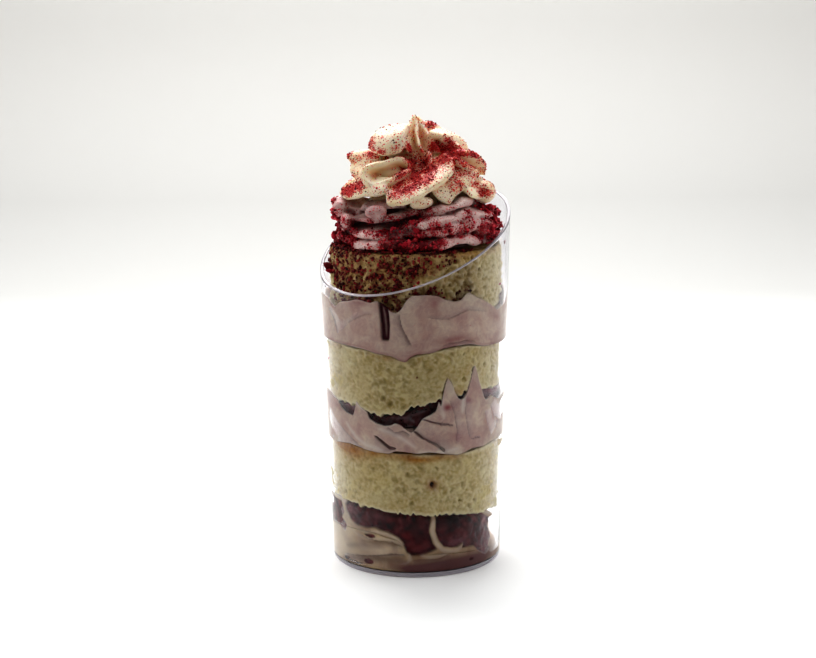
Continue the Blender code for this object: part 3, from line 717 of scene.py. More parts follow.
PALE_STROKES = (
    (((-57, 20.4), (-55.5, 17), (-51, 14.4), (-43, 12.7), (-36, 12.5), (-28, 12.9), (-20, 12.6),
      (-13, 11.3), (-9, 10)), 1.5),
    (((12, 19.4), (11, 16.2), (10.5, 13.6), (13, 10.2), (17.5, 7.9), (24, 7.2), (29, 7.3), (33, 8.8)), 1.9),
    (((-5, 7), (-4.5, 5.4), (-6.5, 4.2), (-10, 3.8)), 1.1),
    (((3, 6.5), (9, 6), (16, 6.1), (23, 7)), 1),
    (((52, 17.2), (58, 15.6), (63, 15.2)), 2),
)
LIP_HIGHLIGHTS = (
    (((-52, 13), (-44, 11), (-35, 10.4), (-23, 11.1), (-15, 10.8), (-9, 9.7)), 1.3),
    (((-68, 2.6), (-47, 4.5), (-31, 5.7), (-17, 6.4), (-9, 6.7)), 1.4),
)
# Painted soft shadows: path, width and amount. Dark bits: azimuth, height, half widths and lean.
SOFT_SHADOWS = (
    (((-40, 9.4), (-30, 9.3), (-22, 9.9), (-11, 9.4)), 1.1, 0.75),
    (((-55, 6.6), (-39, 8.3), (-24, 8.9)), 1.8, 0.45),
    (((-60, 2.2), (-48, 3.2), (-34, 4.4), (-17, 4.9), (-8, 4.6)), 2, 0.65),
)
DARK_BITS = ((-33, 11.6, 2, 0.75, -6), (-56, 2.6, 1.3, 0.5), (-35, 3.4, 1.9, 0.8), (40, 3.6, 0.9, 0.5))
BOTTOM_FOLDS = (
    (((-8, 6.9), (-17, 6.6), (-35, 5.1), (-59, 3.6)), 0.7, 2.2),
    (((-9, 9.2), (-17, 10.3), (-30, 10.2), (-44, 11.4)), 0.6, 2.6),
    (((24, 6.4), (14, 5.2), (4, 5.4), (-3, 5.2)), 0.5, 1.8),
)
# What each mark is made of, as patches: amount, azimuth, height, half widths and lean.
BOTTOM_MARKS = {
    "bright": ((0.55, -7, 12.4, 2, 1.2, -10), (0.25, 0, 9.6, 4, 2.4), (0.25, -55, 16, 2, 2)),
    "shade": ((0.8, 24, 16, 5, 2.6), (0.5, 2, 13, 4, 3)),
    "pale": (
        (0.7, 28, 9.4, 3.6, 1.6), (0.6, -53, 18, 3, 1.2), (0.5, -27, 17.6, 3, 1.2), (0.6, 60, 8, 1.6, 3),
    ),
    "stain": (
        (0.95, 46, 3, 14, 3.4), (0.9, 16, 2.6, 12, 2.6), (0.6, -6, 2.6, 6, 1.4), (0.4, 31, 9, 2, 1.4),
        (0.3, -38, 13.6, 4, 1),
    ),
}


def bottom_jam(azimuth, z, bits=()):
    """How much of the wall's food is jam at a place in the bottom layer, from 0 to 1."""
    share = np.maximum(inside(azimuth, z, JAM_LEFT), inside(azimuth, z, JAM_MAIN))
    behind = ease(70.0, 84.0, np.abs(azimuth))
    back_line = 9.0 - 3.0 * np.sin(np.radians(azimuth + 18.0)) + 1.4 * np.sin(np.radians(5.0 * azimuth))
    share = share * (1.0 - behind) + behind * ease(-0.4 * MM, 0.4 * MM, z - back_line * MM)
    for bit in bits:
        share = np.maximum(share, ease(0.3, 0.5, patch(azimuth, z, *bit)))
    for path, width in PALE_STROKES:
        share = share * (1.0 - stroke(azimuth, z, path, width))
    return share


def bottom_radius(azimuth, z):
    """Cream lies against the wall; jam is lumpy and a little deeper; both draw back at the right."""
    places = on_cylinder(azimuth, z)
    depth = 0.12 * ease(0.1, 0.5, lumps(places, 5.0, 71))
    left = ease(-54.0, -63.0, azimuth) * ease(-112.0, -96.0, azimuth)
    jam = bottom_jam(azimuth, z) * (1.0 - 0.9 * left)
    depth += jam * (0.55 + 0.5 * lumps(places, 2.6, 73) + 0.3 * lumps(places, 1.1, 75))
    depth += 0.9 * ease(1.5 * MM, 0.3 * MM, edge_at(SPONGE_LOWER_BASE)(azimuth) - z) * (1.0 - left)
    for fold_values in BOTTOM_FOLDS:
        depth += step_down(azimuth, z, *fold_values)
    chunk = 61.0 + 5.0 * lumps(np.column_stack((0.0 * z, 0.0 * z, z)), 2.4, 77)
    away = ease(chunk - 1.0, chunk + 1.0, azimuth) * ease(112.0, 96.0, azimuth) * ease(3.0, 5.0, z / MM)
    return inner_radius(z) + BITE - (depth + 4.2 * away) * MM


def make_bottom(look):
    """The bottom layer's cream and jam, which show as one pattern on the wall."""
    foot, top = flat_at(1.55), edge_at(SPONGE_LOWER_BASE, -0.3)
    under, over = edge_at(BOTTOM_LINE, -0.05), edge_at(BOTTOM_LINE, 0.05)
    for name, slot, node, low, high, rows in (
        ("frosting_bottom_smear", "mauve_frosting", "frosting_bottom", foot, under, 34),
        ("jam_bottom_smear", "berry_jam", "jam_bottom", over, top, 44),
    ):
        obj = disc(name, low, high, bottom_radius, rows=rows, edge_mm=0.05)
        azimuth, z = wall_places(obj)
        mark(obj, "jam", bottom_jam(azimuth, z, DARK_BITS))
        for key, rows_of_patches in BOTTOM_MARKS.items():
            mark(obj, key, clamp01(patches(azimuth, z, *rows_of_patches)))
        # Painted light: the cream is lighter towards the left side and in a soft patch low at the front left.
        light = 0.55 * ease(-30.0, -60.0, azimuth) * ease(-160.0, -110.0, azimuth)
        mark(obj, "light", clamp01(light + patches(azimuth, z, (0.3, -28, 7.4, 8.0, 1.4, 6))))
        # Pale cream strokes, and painted highlights along the fold lips.
        strokes = [stroke(azimuth, z, path, 0.5 * width, 0.6) for path, width in PALE_STROKES + LIP_HIGHLIGHTS]
        mark(obj, "stroke", 0.8 * np.max(strokes, axis=0))
        # Painted shade in the hollows and painted soft shadows under the folds.
        shadows = [amount * stroke(azimuth, z, path, wide, 1.1) for path, wide, amount in SOFT_SHADOWS]
        mark(obj, "hollow", np.maximum(hollow_of(obj, 20, 0.45), np.max(shadows, axis=0)))
        finish_piece(obj, name, look, slot, node)


def make_jam_middle(look):
    """Dark jam in the space between the skirt's edge and the sponge above it."""

    def radius(azimuth, z):
        places = on_cylinder(azimuth, z)
        bumps = 0.7 * lumps(places, 2.6, 81) + 0.35 * lumps(places, 1.2, 83)
        inward = 1.1 + 1.0 * ease(62.0, 40.0, np.abs(azimuth))
        return inner_radius(z) - (inward - bumps) * MM

    top = edge_at(SPONGE_MIDDLE_BASE, -GAP)
    obj = disc("jam_middle_lumps", flat_at(JAM_LEVEL), top, radius, rows=26, edge_mm=0.6)
    pale = (
        (0.7, -55, 48, 3, 2.4), (0.6, 62, 52.4, 6, 2.4), (0.35, -18, 47.2, 3, 1.2),
        (0.45, 2, 45.6, 1.2, 1.2),
    )
    mark(obj, "pale", clamp01(patches(*wall_places(obj), *pale)))
    finish_piece(obj, "jam_middle_lumps", look, "berry_jam", "jam_middle")


# ---------------------------------------------------------------- piped ring and swirl


def smooth_line(points, steps=12):
    """A smooth line through given points of any number of values (Catmull-Rom)."""
    points = [np.array(p, dtype=float) for p in points]
    padded = [2.0 * points[0] - points[1]] + points + [2.0 * points[-1] - points[-2]]
    line = []
    for p0, p1, p2, p3 in zip(padded, padded[1:], padded[2:], padded[3:]):
        for t in (i / steps for i in range(steps)):
            bend = (2.0 * p0 - 5.0 * p1 + 4.0 * p2 - p3) * t * t
            line.append(0.5 * (2.0 * p1 + (p2 - p0) * t + bend + (3.0 * p1 - p0 - 3.0 * p2 + p3) * t**3))
    return line + [points[-1]]


def melt(pieces, voxel_mm, rounds):
    """Melts pieces that lie on each other into one body and softens its creases."""
    choose(*pieces)
    bpy.ops.object.join()
    obj = bpy.context.object
    remesh = obj.modifiers.new("melt", "REMESH")
    remesh.mode = "VOXEL"
    remesh.voxel_size = voxel_mm * MM
    soften = obj.modifiers.new("soften", "SMOOTH")
    soften.factor = 0.5
    soften.iterations = rounds
    return apply_all(obj)


def cone(radius, top_radius, low, high):
    """A plain core inside the piping, so that no hollow is left in it. All in millimetres."""
    return basic(
        bpy.ops.mesh.primitive_cone_add,
        vertices=48,
        radius1=radius * MM,
        radius2=top_radius * MM,
        depth=high * MM - low * MM,
        location=(PIPING_SHIFT_MM * MM, 0.0, (low * MM + high * MM) / 2.0),
    )


def ball(place, sizes, lean=(0, 0, 0)):
    """A lump with these half sizes in millimetres, turned by these degrees."""
    return basic(
        bpy.ops.mesh.primitive_ico_sphere_add,
        subdivisions=4,
        radius=1.0,
        location=[c * MM for c in place],
        rotation=[math.radians(a) for a in lean],
        scale=[c * MM for c in sizes],
    )


def fold(lip, root, thickness, bulge, steps=64):
    """A sheet of frosting from its buried root line to its free lip, both given in millimetres.

    It bulges outwards between the two, and gets thinner towards the lip and the two ends.
    """
    obj = basic(bpy.ops.mesh.primitive_grid_add, x_subdivisions=steps, y_subdivisions=10, size=2.0)
    u, v = ((points_of(obj)[:, axis] + 1.0) / 2.0 for axis in (0, 1))
    ends = []
    for line in (np.array(smooth_line(root)), np.array(smooth_line(lip))):
        share = np.linspace(0.0, 1.0, len(line))
        ends.append(np.column_stack([np.interp(u, share, line[:, axis]) for axis in range(3)]))
    low, high = ends
    points = low + (high - low) * v[:, None]
    outwards = points - np.array([PIPING_SHIFT_MM, 0.0, 0.0])
    outwards[:, 2] = 0.35 * np.linalg.norm(outwards[:, :2], axis=1)
    outwards /= np.linalg.norm(outwards, axis=1, keepdims=True)
    points += outwards * (bulge * np.sin(math.pi * v))[:, None]
    uneven = np.array([noise.noise_vector(Vector(q) / 3.2) for q in points])
    move_points(obj, (points + 0.28 * uneven * ease(0.2, 0.9, v)[:, None]) * MM)
    full = (1.0 - 0.5 * v**5) * (0.35 + 0.65 * fading(u, 8))
    group = obj.vertex_groups.new(name="full")
    for index, weight in enumerate(full):
        group.add([index], float(weight), "REPLACE")
    thick = obj.modifiers.new("thick", "SOLIDIFY")
    thick.thickness = thickness * MM
    thick.offset = 0.0
    thick.vertex_group = "full"
    return apply_all(obj)


def round_line(knots):
    """(azimuth, radius, height) knots as places round the piping's axis, in millimetres."""
    turns = [math.radians(azimuth) for azimuth, _, _ in knots]
    return [
        (r * math.sin(turn) + PIPING_SHIFT_MM, -r * math.cos(turn), z)
        for turn, (_, r, z) in zip(turns, knots)
    ]


def keep_between(obj, low, high):
    """Presses what lies beyond two level planes, in millimetres, flat onto them."""
    points = points_of(obj)
    points[:, 2] = np.clip(points[:, 2], low * MM, high * MM)
    move_points(obj, points)


def powder_at(points, heaps, base=0.0):
    """How much powder lies at each point, from (x, y, z, radius, amount) heaps in millimetres."""
    load = np.full(len(points), base)
    for *centre, reach, amount in heaps:
        away = np.linalg.norm(points / MM - np.array(centre), axis=1)
        load = np.maximum(load, amount * ease(1.5 * reach, 0.35 * reach, away))
    return load


# The ring's bands of frosting, from the bottom up: knots of azimuth, lip radius and height of the
# middle, and then the thickness, the slope of the roots and the bulge.
RING_BANDS = (
    (((-180, 23.4, 95.8), (-140, 24, 95.6), (-100, 23.8, 95.8), (-72, 23.4, 96.2), (-58, 23, 95.6),
      (-48, 23.9, 95), (-38, 24.3, 95), (-28, 23.7, 95.1), (-20, 22.4, 95.6), (-8, 22, 95.2), (4, 22.8, 95),
      (14, 24, 95.4), (24, 24.7, 96), (34, 24.7, 96.4), (44, 24, 96), (56, 23.4, 95.2), (74, 23.8, 95.8),
      (110, 24, 95.6), (150, 23.6, 95.8), (180, 23.4, 95.8)), 3, 0.7, 0.3),
    (((-180, 22.6, 99.2), (-140, 22, 99.4), (-110, 22.8, 99), (-84, 22.6, 98.8), (-62, 21.8, 98.4),
      (-50, 22.9, 98), (-36, 22.9, 98.1), (-24, 22.3, 98), (-14, 20.6, 98.4), (-4, 21, 98.6),
      (8, 22.3, 98.6), (20, 22.8, 98.9), (32, 22.8, 99.2), (46, 23.2, 99.8), (60, 24.4, 99.6),
      (80, 24.2, 99.4), (120, 22.4, 99.2), (150, 22.8, 99.4), (180, 22.6, 99.2)), 2.3, 0.8, 0.3),
    (((-66, 20.4, 102), (-56, 21.8, 102.1), (-46, 22.3, 102.2), (-36, 22.2, 102.3), (-26, 21.6, 102.5),
      (-14, 20.2, 103.2), (-2, 18.8, 104.2), (8, 17.4, 104.8)), 2, 0.4, 0.3),
    (((-18, 19.8, 99.6), (-8, 21, 100.2), (4, 21.8, 101), (15, 22.2, 101.7), (27, 22.6, 102.5),
      (37, 22.8, 103.2), (48, 23.4, 103.6), (62, 24, 103), (84, 23.8, 102.4), (120, 22, 103),
      (150, 21.8, 102.6), (185, 21.6, 102.8), (220, 22, 102.6), (250, 21.8, 102.8), (276, 21.6, 102.2),
      (292, 20.6, 101.6)), 2.2, 0.6, 0.3),
    (((2, 17, 103.6), (12, 19.4, 104.3), (22, 20.8, 105), (32, 21.4, 105.9), (42, 21.6, 107),
      (54, 20.2, 107.2)), 2.1, 0, 0.3),
    (((-56, 19.4, 104.8), (-46, 20, 105.6), (-34, 20, 106), (-22, 19.2, 106.2), (-10, 18, 106.2)), 2, 0.2,
     0.2),
    (((-56, 19.6, 104.2), (-66, 22.2, 105), (-75, 24.3, 106.6), (-82, 24.2, 106), (-92, 22.6, 104.8),
      (-106, 20.8, 104)), 2.8, -0.3, 0.3),
)
RING_ROOT = 14.0
LONG_BAND = 9  # a band with more knots than this goes round far enough to need finer steps
RING_LUMPS = (
    ((-10.6, -18.6, 104.8), (3.1, 2, 1.7)),
    ((-19, -10.4, 101.4), (2.2, 3.4, 2.4)),
    ((-20.6, -7, 104.6), (2.8, 3.4, 2.6)),
    ((13.6, -6.4, 106), (6, 5.6, 2.6)),
    ((-4.2, -20.2, 98.6), (2, 1.4, 1.5)),
    ((10.6, -18, 100.2), (4.6, 2.8, 1.9), (0, -8, 28)),
    ((15.2, -15.2, 101), (4.4, 3.4, 2.6), (0, -8, 44)),
    ((18.8, -11.6, 99.6), (3.4, 4.4, 3.6)),
)
# Where the ring is painted dark maroon as shade, under the swirl's overhang, in the deep gaps and
# low at the front, and where powder lies on it: place, radius and amount.
RING_SHADE = (
    (-5.4, -20.6, 100.4, 3, 0.9), (-8.6, -20, 101, 2.4, 0.8), (-1, -20.6, 98.6, 3, 0.7),
    (-16, -14, 101, 2.6, 0.7), (4, -20, 97.6, 2.4, 0.5), (-20.4, -10.4, 98.6, 3, 0.6),
    (21, -12, 97, 3, 0.5), (-3, -18, 104.4, 3, 0.6), (18, -12, 106, 2.4, 0.6), (19.8, -12, 99.6, 2.6, 0.8),
    (19.4, -13.4, 97, 2.4, 0.7), (-5, -22.4, 95, 4, 0.5), (3, -22.8, 95, 4, 0.5),
    (-12, -15.6, 106.4, 5, 0.4), (-14, -15, 105.4, 4.4, 0.4), (3, -17.6, 105, 4.4, 0.4),
    (11, -14.6, 106.4, 3, 0.3),
)
RING_POWDER = (
    (-23, -8, 100.4, 4.2, 1.2), (-21, -13, 97.5, 4.6, 1.2), (-24, -3, 98, 6, 1.1),
    (-17.6, -14.8, 100.4, 2.4, 1), (-23.4, -6, 107, 1.4, 0.8), (-17.4, -13.2, 105, 1.9, 1),
    (-17.4, -14, 95.4, 2.4, 0.9), (22, -12, 98, 4.6, 1.2), (24.4, -5, 101, 6, 1.2),
    (18.6, -14.4, 98.6, 2.8, 1.1), (20, -10, 105, 3, 1), (-7, -21.6, 95.2, 3, 1.1),
    (-3, -22.6, 95.4, 3.4, 1.2), (2, -22.8, 95.4, 3.4, 1.2), (6.4, -22.6, 95.6, 2.6, 1),
    (-6, -20.4, 99.6, 3, 0.7), (-3, -20.2, 101.2, 3, 0.6), (0.6, -21, 98, 2.6, 0.8),
    (5.6, -21.6, 100.2, 2.4, 0.7), (9.6, -21, 99.6, 2.2, 0.6), (-9.4, -20.6, 100.4, 2.4, 0.9),
    (-11.4, -20.4, 98.4, 1.4, 0.8), (-12.6, -19.6, 93.8, 2.4, 0.5), (-13, -19, 100.4, 2.6, 0.8),
    (2.4, -19.6, 104.4, 3, 0.6), (14.4, -18, 101, 2.6, 0.5), (13, -19.6, 98.8, 2, 0.5),
    (-1, -20, 103, 2.6, 0.8), (-6.4, -20.4, 103.2, 2, 0.6), (15.6, -17.6, 104.6, 1.6, 0.4),
    (0, 23, 96, 8, 1), (-16, 16, 101, 6, 1), (16, 15, 100, 6, 0.9), (24, 6, 97, 6, 1.1),
    (-24, 7, 96, 6, 1.1), (8, 20, 103, 4, 0.8), (-8, 21, 99, 4, 0.8),
)


def make_ring(look):
    """Turns of mauve frosting with deep gaps between them, thin at their lips."""
    pieces = [cone(19.4, 16.4, 92.8, 105.6)]
    for knots, thickness, slope, bulge in RING_BANDS:
        root = [(a, RING_ROOT, z + slope * 2.0) for a, _, z in knots]
        steps = 260 if len(knots) > LONG_BAND else 60
        pieces.append(fold(round_line(knots), round_line(root), thickness, bulge, steps))
    ring = melt(pieces + [ball(*values) for values in RING_LUMPS], 0.38, 2)
    points, normals = points_of(ring), points_of(ring, "normal")
    turn = np.radians(azimuth_of(points))
    stretched = np.column_stack((9.0 * np.sin(turn), 9.0 * np.cos(turn), points[:, 2] / MM * 1.5))
    ridges = np.array([noise.noise(Vector(q) * 0.75) for q in stretched])
    uneven = 0.26 * ridges + 0.7 * lumps(points, 5.5, 95) + 0.3 * lumps(points, 2.4, 97)
    move_points(ring, points + normals * (uneven * MM)[:, None])
    # The hollows, which the material paints dark as shade.
    mark(ring, "hollow", hollow_of(ring, 40, 0.8))
    points = points_of(ring)
    dust = powder_at(points, RING_POWDER, 0.08)
    dust *= 0.85 + 1.0 * lumps(points, 2.2, 91) + 0.25 * normals[:, 2]
    mark(ring, "dust", clamp01(dust))
    # Painted shade, placed by RING_SHADE.
    mark(ring, "shade", clamp01(powder_at(points, RING_SHADE)))
    clumps = clamp01(1.6 * dust - 0.8) * (0.35 + 0.9 * lumps(points, 1.5, 99))
    move_points(ring, points + normals * (clumps * MM)[:, None])
    keep_between(ring, SPONGE_TOP_TOP + GAP, 108.4)
    return finish_piece(ring, "piped_ring_frosting", look, "mauve_frosting", "piped_ring")


# The cream's folds: the lip's line and the root's line, then the thickness and the bulge. Those
# that the photo shows come first, and the last three go round its left side. Then come the curl,
# and lumps that fill up hollows: place, half sizes and lean.
CREAM_FRONT = (
    (((-21, -5.6, 108.6), (-19.4, -9.4, 107.6), (-16.4, -13, 108.2), (-13, -15.8, 108.9),
      (-9.8, -17.3, 109.3), (-7.4, -17.4, 109.8)),
     ((-12, -3, 113), (-12, -6, 113), (-11, -9, 113), (-9.5, -11, 113), (-8, -12, 113), (-6, -12.5, 113)),
     2.5, 0.9),
    (((-7.7, -18.4, 109.2), (-6.9, -19.6, 106.9), (-3.4, -20, 107), (0.6, -19.8, 108.3),
      (4.4, -18.8, 110.5), (8.2, -16.8, 112.8), (11, -14.2, 115.4), (11, -11.6, 118.2), (9.4, -9.6, 120.6)),
     ((-5.6, -12, 111.8), (-4.2, -11.4, 112.2), (-2.4, -10.6, 112.8), (-0.4, -9.8, 113.4), (1.6, -9, 114.2),
      (3.2, -8.2, 115), (4.6, -7.4, 116), (5.6, -6.8, 117.2), (6.4, -6.2, 118.6)), 2.5, 0.6),
    (((5, -16.8, 110.4), (7.4, -17.6, 107.9), (9.9, -17.4, 106.7), (12, -16, 108.8), (14.4, -14.4, 110.8),
      (16.8, -12.4, 112.2), (18, -10.2, 113.4)),
     ((5, -11, 114), (6.6, -11, 114), (8, -10.6, 114.4), (9.4, -10, 115), (10.6, -9.2, 115.6),
      (11.6, -8.2, 116.2), (12.2, -7, 116.6)), 2.3, 0.8),
    (((-13.4, -1.2, 119.6), (-19, -3.4, 119.7), (-18, -5.4, 117.4), (-18, -7, 115.2), (-16.8, -9, 113.2),
      (-15.6, -10.8, 112.2)),
     ((-7.4, -0.6, 120.4), (-8, -1.6, 120), (-9, -3.6, 118.8), (-9.6, -5.4, 117), (-9.8, -7, 115.2),
      (-9.8, -8.2, 114)), 2, 0.2),
    (((13, -9.6, 120), (16.4, -8.2, 120), (19.2, -5.8, 118.6), (20.8, -3.4, 116.2), (20.6, -3, 113.4)),
     ((8, -6, 118.6), (9.4, -5, 118.4), (10.6, -3.6, 117.4), (11.4, -2.4, 115.8), (11.4, -2, 114)), 3.2,
     0.6),
    (((-8.6, 2, 124.4), (-11.2, -2.6, 122.8), (-12.2, -6.6, 121.2), (-10.4, -9.2, 120.2),
      (-7.4, -10.6, 120), (-4.4, -10.8, 120.6), (-2.4, -9.6, 122)),
     ((-4.4, 2.4, 126.4), (-5, 0.8, 126.8), (-5, -1.2, 127), (-4.2, -3, 127.2), (-3.2, -4.4, 127.4),
      (-2, -5.2, 127.4), (-1, -5.4, 127.4)), 2.6, 1.7),
    (((3.6, 0.4, 129), (6.8, -1.6, 127.8), (9.2, -3.8, 125.2), (11.8, -5.6, 123.4), (13.9, -6.8, 121.4),
      (15, -6.8, 119.4)),
     ((1.2, 1.2, 126), (2.4, 0.4, 124.8), (3.8, -1, 122.8), (5.4, -2.2, 121), (7, -3, 119.4),
      (8.2, -3.2, 118)), 2.7, 0.8),
    (((0.3, -0.3, 130.9), (-0.8, -2.4, 128.8), (-2, -5, 126.8), (-2.6, -8.4, 123.4), (-1.8, -9.6, 120.8)),
     ((0.2, 0.6, 127.6), (-0.2, -0.6, 126.4), (-0.4, -2.2, 124.4), (-0.4, -3.8, 121.6),
      (-0.2, -4.6, 119.2)), 1.3, 0),
    (((0.4, -0.2, 130.7), (0.9, -2.2, 128.4), (1.1, -4.8, 125.6), (1.7, -7.4, 122.8), (3, -8.8, 120.2)),
     ((0.6, 0.6, 127.4), (1, -0.4, 126), (1.2, -2, 123.6), (1.6, -3.4, 121.2), (2.2, -4.4, 119)), 1.2, 0),
    (((0.6, 0.1, 130.2), (2.4, -1.4, 128.2), (4.4, -3.6, 125.8), (6.4, -6.2, 122.8), (7.8, -7.6, 120.4)),
     ((0.8, 0.8, 127.2), (1.8, 0, 125.6), (2.8, -1.2, 123.6), (4, -2.6, 121.2), (5, -3.4, 119.2)), 1.3,
     0.2),
    (((11.6, -11.6, 119.2), (14.2, -12.2, 117.4), (16.8, -11.2, 115.6), (18.8, -9, 114.2)),
     ((8.6, -6.6, 117.8), (10, -6.8, 116.8), (11.4, -6.4, 115.6), (12, -5.4, 114.4)), 2.4, 0.9),
    (((4.2, -8.2, 121), (5, -9.6, 119.4), (5.2, -11.2, 117.2), (4.8, -12.6, 115.6)),
     ((3.8, -6, 118.6), (4.2, -6.6, 117.6), (4.2, -7.4, 116.4), (4, -8.2, 115)), 1.6, 0),
    (((-20.4, -4.6, 109.4), (-21.2, -1, 107.8), (-20.4, 3.4, 107.2), (-18.6, 7, 108.6), (-16, 9.8, 110.4)),
     ((-12, -3, 113.4), (-12.4, -0.6, 113.4), (-12, 2, 113.4), (-11, 4.6, 113.6), (-9.6, 6.4, 114)), 2.6,
     0.9),
    (((-14.2, -3, 115), (-15.2, 0.6, 113.2), (-14.8, 4.6, 113.4), (-12.8, 8, 115), (-10.4, 10.4, 117)),
     ((-8, -2, 118), (-8.6, 0.6, 117.6), (-8.2, 3, 117.8), (-7.2, 5, 118.4), (-5.8, 6.6, 119)), 2.5, 0.8),
    (((-14, 1.8, 118.4), (-13.2, 6, 118.2), (-10.4, 8.8, 119.4), (-7.6, 10.4, 121.4)),
     ((-6.6, 1.2, 121.6), (-6, 3.2, 122), (-4.8, 4.6, 122.6), (-3.4, 5.4, 123.4)), 2.5, 0.8),
)
CREAM_CURL = (
    ((-0.8, -10.4, 116.2), (-2.8, -11.4, 118.3), (-5, -12, 118.9), (-8, -12.8, 117.8), (-11, -13.2, 117.3),
     (-13.3, -13.4, 116.6), (-14.6, -13.8, 114.8), (-13.9, -14.8, 113), (-12, -15.6, 111.9),
     (-9.4, -16.2, 112.1), (-6, -15.8, 113.5), (-2.8, -14.2, 115), (-0.6, -12.6, 116)),
    ((0.2, -5.4, 115.4), (-1.6, -5.8, 116.6), (-3.6, -6, 117), (-6, -6.4, 116.6), (-8.4, -7, 116.2),
     (-10.2, -7.4, 115.8), (-11.4, -8, 114.4), (-11, -8.8, 112.6), (-9.8, -9.4, 111.2), (-8, -9.6, 111),
     (-5.4, -9, 111.8), (-2.8, -8.2, 113.4), (-0.6, -7.2, 114.6)),
    2.7,
    0,
)
CREAM_LUMPS = (
    ((19.8, -8.8, 109.2), (3.5, 3.6, 3.4), (0, 0, 0)),
    ((2.2, -17.4, 107), (3.4, 2.4, 1.7), (0, -8, 10)),
    ((-6.4, -3.6, 122.6), (5, 4.6, 3.6), (0, 35, 0)),
    ((-7.2, -6.6, 114.8), (5.4, 4.8, 3.4), (0, 0, 0)),
    ((14.2, -6.4, 108.6), (3.6, 4.6, 3.2), (0, 0, 0)),
)
# The back is made of the same kinds of folds: which one, its turn round the axis and its lift.
CREAM_BACK = (
    (0, 172, 0.2), (1, 196, -0.2), (2, 168, 0.3), (3, 214, -0.8), (4, 158, -0.8), (0, 118, 0),
    (1, 128, -0.4), (5, 150, -1.2), (6, 100, -1), (6, 168, -1.4), (2, 96, 0.4), (9, 190, -0.6),
    (7, 120, -0.6), (0, 232, 0.3),
)
# Where powder lies on the cream, and where there is hardly any: place, radius and amount.
CREAM_POWDER = (
    (-12, -7.6, 120, 2.2, 1.3), (-8.4, -9.4, 120.2, 2, 1.3), (-4.8, -9.6, 121.2, 2, 1.2),
    (-0.6, -9, 117.4, 3, 1.5), (-1.4, -8.6, 121, 2.6, 1.1), (2.4, -8.6, 118.6, 3, 1.2),
    (-4.8, -17.8, 111.2, 3, 0.85), (-1.6, -16, 112.4, 3.8, 1.2), (2.2, -14.8, 113.8, 3.8, 1.2),
    (1.8, -12, 115.8, 3.8, 1.15), (6.4, -12.4, 116.4, 3, 1), (8.4, -10.4, 118.6, 2.6, 1),
    (-3.6, -13.4, 114.6, 2.4, 0.9), (6, -6.4, 121.6, 2.6, 1.2), (3.6, -6, 121.6, 2, 0.6),
    (9.8, -7.2, 121, 3, 1.3), (12.6, -9.4, 119.8, 3.4, 1.4), (16.6, -8.6, 118.6, 3.6, 1.3),
    (19.6, -5.4, 116.8, 3.4, 1.1), (13.4, -11.4, 116, 3.4, 0.8), (16.4, -11.4, 113, 2.8, 0.6),
    (11.6, -14.8, 112.2, 2.6, 0.5), (19.6, -11.6, 107.8, 3.4, 0.9), (22, -7.6, 110.4, 2.6, 0.6),
    (-17.6, -10, 110.8, 3.2, 1.4), (-14.6, -12.6, 111.8, 2.6, 1.3), (-20.4, -6.4, 109.6, 2.6, 0.9),
    (-18.6, -3.2, 119.2, 1.9, 1), (-16.4, -5, 118.6, 1.8, 0.5), (-11.4, -5.6, 121.6, 3, 0.9),
    (-8, -8.4, 121, 2.2, 0.5), (-2.2, -5, 126, 2, 0.35), (5.4, -0.8, 128, 2.4, 0.9),
    (2.2, -4.2, 124.8, 1, 0.9), (-7, -8.6, 113, 2, 0.3), (-19, 2, 110.6, 3, 1.1),
    (-13.4, 1.4, 115, 2.6, 1.1), (-10.6, 5.6, 120, 2.6, 1.2), (0, 13, 117, 6, 0.9), (12, 9, 119, 6, 0.9),
    (-12, 8, 118, 6, 0.9), (-15, 12, 110, 5, 0.9), (6, 17, 111, 5, 0.7), (18, 8, 111, 5, 0.8),
    (-4, 4, 125, 4, 0.7), (-20, 4, 109, 4, 0.8),
)
CREAM_CLEAN = ((-8.4, -13.4, 115.4, 3.4, 1), (-12.8, -14.4, 113.8, 2.6, 1), (-4.6, -12.6, 116.8, 2.4, 0.8))


def turned(line, angle, lift):
    """A line turned round the piping's axis by some degrees and moved up."""
    c, s = math.cos(math.radians(angle)), math.sin(math.radians(angle))
    from_axis = [(x - PIPING_SHIFT_MM, y, z) for x, y, z in line]
    return [(x * c - y * s + PIPING_SHIFT_MM, x * s + y * c, z + lift) for x, y, z in from_axis]


def make_swirl(look):
    """Thin folds of cream round a pit, a curl at the left of it, and ridges up to a pulled tip."""
    pieces = [fold(*values) for values in CREAM_FRONT + (CREAM_CURL,)]
    for index, angle, lift in CREAM_BACK:
        lip, root, thickness, bulge = CREAM_FRONT[index]
        pieces.append(fold(turned(lip, angle, lift), turned(root, angle, lift), thickness, bulge))
    pieces += [ball(*values) for values in CREAM_LUMPS]
    pieces += [cone(15.4, 9.0, 104.0, 114.6), cone(9.4, 4.6, 113.0, 121.0), cone(4.4, 0.5, 118.0, 129.0)]
    swirl = melt(pieces, 0.345, 1)
    keep_between(swirl, PIPED_TOP + GAP, 131.3)
    points, normals = points_of(swirl), points_of(swirl, "normal")
    # The hollows, which the material paints with warm light.
    mark(swirl, "hollow", hollow_of(swirl, 25, 1.6))
    clouds = 0.8 + 0.8 * lumps(points, 2.4, 101) + 0.4 * hollow_of(swirl, 10, 0.35)
    dust = clamp01(powder_at(points, CREAM_POWDER, 0.09) * clouds * ease(-0.75, 0.15, normals[:, 2]))
    mark(swirl, "dust", dust * (1.0 - 0.9 * clamp01(powder_at(points, CREAM_CLEAN))))
    return finish_piece(swirl, "cream_swirl_frosting", look, "cream_frosting", "cream_swirl")


# ---------------------------------------------------------------- berry crumbs

